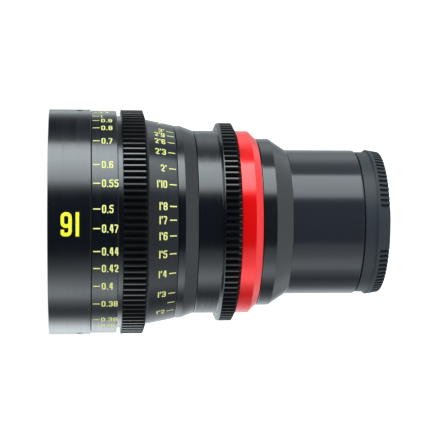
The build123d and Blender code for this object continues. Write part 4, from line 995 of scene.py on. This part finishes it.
def build_world():
    """White to the camera. Reflections see soft boxes round the axis, diffuse surfaces an even sky."""
    world = bpy.data.worlds.new("studio")
    bpy.context.scene.world = world
    world.use_nodes = True
    tree = world.node_tree
    tree.nodes.clear()

    def math_node(kind, a, b=None):
        """Result of a sum on values or outputs."""
        made = tree.nodes.new("ShaderNodeMath")
        made.operation = kind
        for socket, value in zip(made.inputs, (a, b)):
            if isinstance(value, (int, float)):
                socket.default_value = value
            elif value is not None:
                tree.links.new(value, socket)
        return made.outputs[0]

    place = tree.nodes.new("ShaderNodeTexCoord")
    parts = tree.nodes.new("ShaderNodeSeparateXYZ")
    tree.links.new(place.outputs["Generated"], parts.inputs[0])
    x, y, z = parts.outputs
    angle = math_node("ARCTAN2", x, math_node("MULTIPLY", y, -1.0))
    turn = math_node("ADD", math_node("DIVIDE", angle, 2 * math.pi), 0.5)

    def sky(points):
        """Strength round the axis from a table."""
        made = tree.nodes.new("ShaderNodeFloatCurve")
        curve = made.mapping.curves[0]
        top = max(v for _, v in points)
        places = [(a / 360 + 0.5, v / top) for a, v in points]
        curve.points[0].location, curve.points[1].location = places[0], places[-1]
        for place in places[1:-1]:
            curve.points.new(*place)
        for point in curve.points:
            point.handle_type = "VECTOR"
        made.mapping.update()
        tree.links.new(turn, made.inputs["Value"])
        return math_node("MULTIPLY", made.outputs["Value"], top)

    def fade(heights, low=0.0, high=1.0):
        """Smooth change from one strength to another between two heights."""
        made = tree.nodes.new("ShaderNodeMapRange")
        made.interpolation_type = "SMOOTHSTEP"
        for socket, value in zip(made.inputs[1:5], (*heights, low, high)):
            socket.default_value = value
        tree.links.new(z, made.inputs["Value"])
        return made.outputs["Result"]

    front = math_node("MULTIPLY", sky(SKY_FRONT), fade(TO_REAR, 1.0, 0.0))
    rear = math_node("MULTIPLY", sky(SKY_REAR), fade(TO_REAR))
    level = math_node("MULTIPLY", math_node("ADD", front, rear), fade(TO_DARK, 1.0, 0.0))
    seen = math_node("ADD", level, math_node("MULTIPLY", fade(TO_BELOW), BELOW))

    def background(strength, color):
        """Light of a strength, given as a value or an output."""
        made = tree.nodes.new("ShaderNodeBackground")
        made.inputs["Color"].default_value = (*color, 1)
        if isinstance(strength, float):
            made.inputs["Strength"].default_value = strength
        else:
            tree.links.new(strength, made.inputs["Strength"])
        return made.outputs[0]

    rays = tree.nodes.new("ShaderNodeLightPath")

    def mix(fac, a, b):
        """One shader where fac is 0 and the other where it is 1."""
        made = tree.nodes.new("ShaderNodeMixShader")
        tree.links.new(fac, made.inputs[0])
        tree.links.new(a, made.inputs[1])
        tree.links.new(b, made.inputs[2])
        return made.outputs[0]

    shade = mix(rays.outputs["Is Diffuse Ray"], background(seen, TINT), background(AMBIENT, TINT))
    shade = mix(rays.outputs["Is Camera Ray"], shade, background(1.0, WHITE))
    out = tree.nodes.new("ShaderNodeOutputWorld")
    tree.links.new(shade, out.inputs["Surface"])


def build_lights():
    """Soft fill from the photographed side, lighting paint and diffuse surfaces only."""
    for name, at, size, power in LIGHTS:
        data = bpy.data.lights.new(name, "AREA")
        data.shape, data.size, data.energy = "DISK", size, power
        light = linked(name, data)
        light.location = at
        light.rotation_mode = "QUATERNION"
        light.rotation_quaternion = (Vector(at) - Vector((0, 0, TOTAL / 2))).to_track_quat("Z", "Y")
        light.visible_camera = False
        light.visible_glossy = False


def build_floor():
    """Plain pale floor under the lens, low enough for the cap to come off."""
    travel = {j["name"]: j.get("range_m") for j in frame["record"]["behaviour"]["joints"]}
    corners = [(x * FLOOR_WIDE, y * FLOOR_WIDE, 0) for x, y in ((-1, -1), (1, -1), (1, 1), (-1, 1))]
    mesh = bpy.data.meshes.new("floor")
    mesh.from_pydata(corners, [], [(0, 1, 2, 3)])
    floor = linked("floor", mesh)
    floor.location.z = -travel["cap_pull"][1] - TINY
    n = Nodes("floor")
    n.set(Base_Color=(*FLOOR_COLOR, 1), Roughness=FLOOR_ROUGH)
    n.set(Emission_Color=(*WHITE, 1), Emission_Strength=FLOOR_GLOW)
    mesh.materials.append(n.material)
    floor.visible_glossy = False


def build_camera():
    """The photograph's camera: picture left is +Z and picture up is +X."""
    data = bpy.data.cameras.new("camera")
    data.sensor_width = SENSOR
    data.lens = FOCAL_LENGTH
    camera = linked("camera", data)
    forward = (Vector(CAMERA_TO) - Vector(CAMERA_AT)).normalized()
    right = forward.cross(Vector((1, 0, 0))).normalized()
    up = right.cross(forward)
    turn = Matrix((right, up, -forward)).transposed().to_4x4()
    camera.matrix_world = Matrix.Translation(CAMERA_AT) @ turn
    bpy.context.scene.camera = camera


# assembly
def shade_gaps(obj, material, back, front, tip_at, depth=TOOTH_DEPTH):
    """Paints shade into the gaps between teeth or ribs, between two heights: their faces get a darker, duller
    material that stands in for the shade falling there.

    tip_at(z) is the radius of the tips at a height.
    """
    obj.data.materials.append(material)
    for face in obj.data.polygons:
        c = face.center
        below = tip_at(c.z) - math.hypot(c.x, c.y)
        if back < c.z < front and TOOTH_BREAK * GAP_FROM_SHARE < below < depth * GAP_TO_SHARE:
            face.material_index = 1


def add_piece(obj, material, body, replaced=()):
    """Finishes a shown piece: its material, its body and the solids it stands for."""
    paint_with(obj, material)
    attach(obj, body)
    if replaced:
        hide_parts(*replaced)
    return obj


def build_lens(mats):
    """All shown pieces, each riding its body."""
    add_piece(build_front_barrel(), mats["front_black"], "barrel", ["front_barrel"])
    ring = add_piece(build_focus_ring(), mats["focus_black"], "focus_ring", ["focus_ring"])
    # the gaps between the focus gear's teeth get a darker, duller material: painted shade
    shade_gaps(ring, mats["milled_black"], SHOULDER_BACK, NECK_BACK, lambda z: GEAR_TIP)
    add_piece(build_index_ring(), mats["index_black"], "barrel", ["index_ring"])
    ring = add_piece(build_iris_ring(), mats["iris_black"], "iris_ring", ["iris_ring"])
    # the gaps between the iris gear's teeth get a darker, duller material: painted shade
    shade_gaps(ring, mats["milled_black"], IRIS_BACK, IRIS_GEAR_FRONT, lambda z: IRIS_TIP)
    add_piece(build_red_ring(), mats["red_anodised"], "barrel", ["red_ring"])
    add_piece(build_rear_barrel(), mats["rear_black"], "barrel", ["rear_barrel"])
    add_piece(build_mount_tube(), mats["tube_black"], "barrel", ["mount_tube"])
    cap = add_piece(build_rear_cap(), mats["cap_plastic"], "rear_cap", ["rear_cap"])
    # the grooves between the cap's ribs get a darker, duller material: painted shade
    shade_gaps(cap, mats["rib_gap"], CAP_EDGE, RIB_FRONT, cap_head_radius, RIB_DEPTH)
    add_piece(build_cap_lugs(), mats["cap_plastic"], "rear_cap", ())
    add_piece(build_metre_scale(), mats["scale_paint"], "focus_ring")
    add_piece(build_feet_scale(), mats["scale_paint"], "focus_ring")
    add_piece(build_focal_mark(), mats["yellow_paint"], "barrel")
    add_piece(build_index_mark(), mats["pale_paint"], "barrel")
    add_piece(build_stop_scale(), mats["pale_paint"], "iris_ring")
    slots = {s["node"]: s["material_slot"] for s in frame["record"]["subparts"]}
    for name, node in frame["nodes"].items():
        paint_with(node, mats[slots[name]])


build_lens(make_materials())
build_world()
build_lights()
build_floor()
build_camera()
bpy.context.scene.view_settings.view_transform = "Standard"
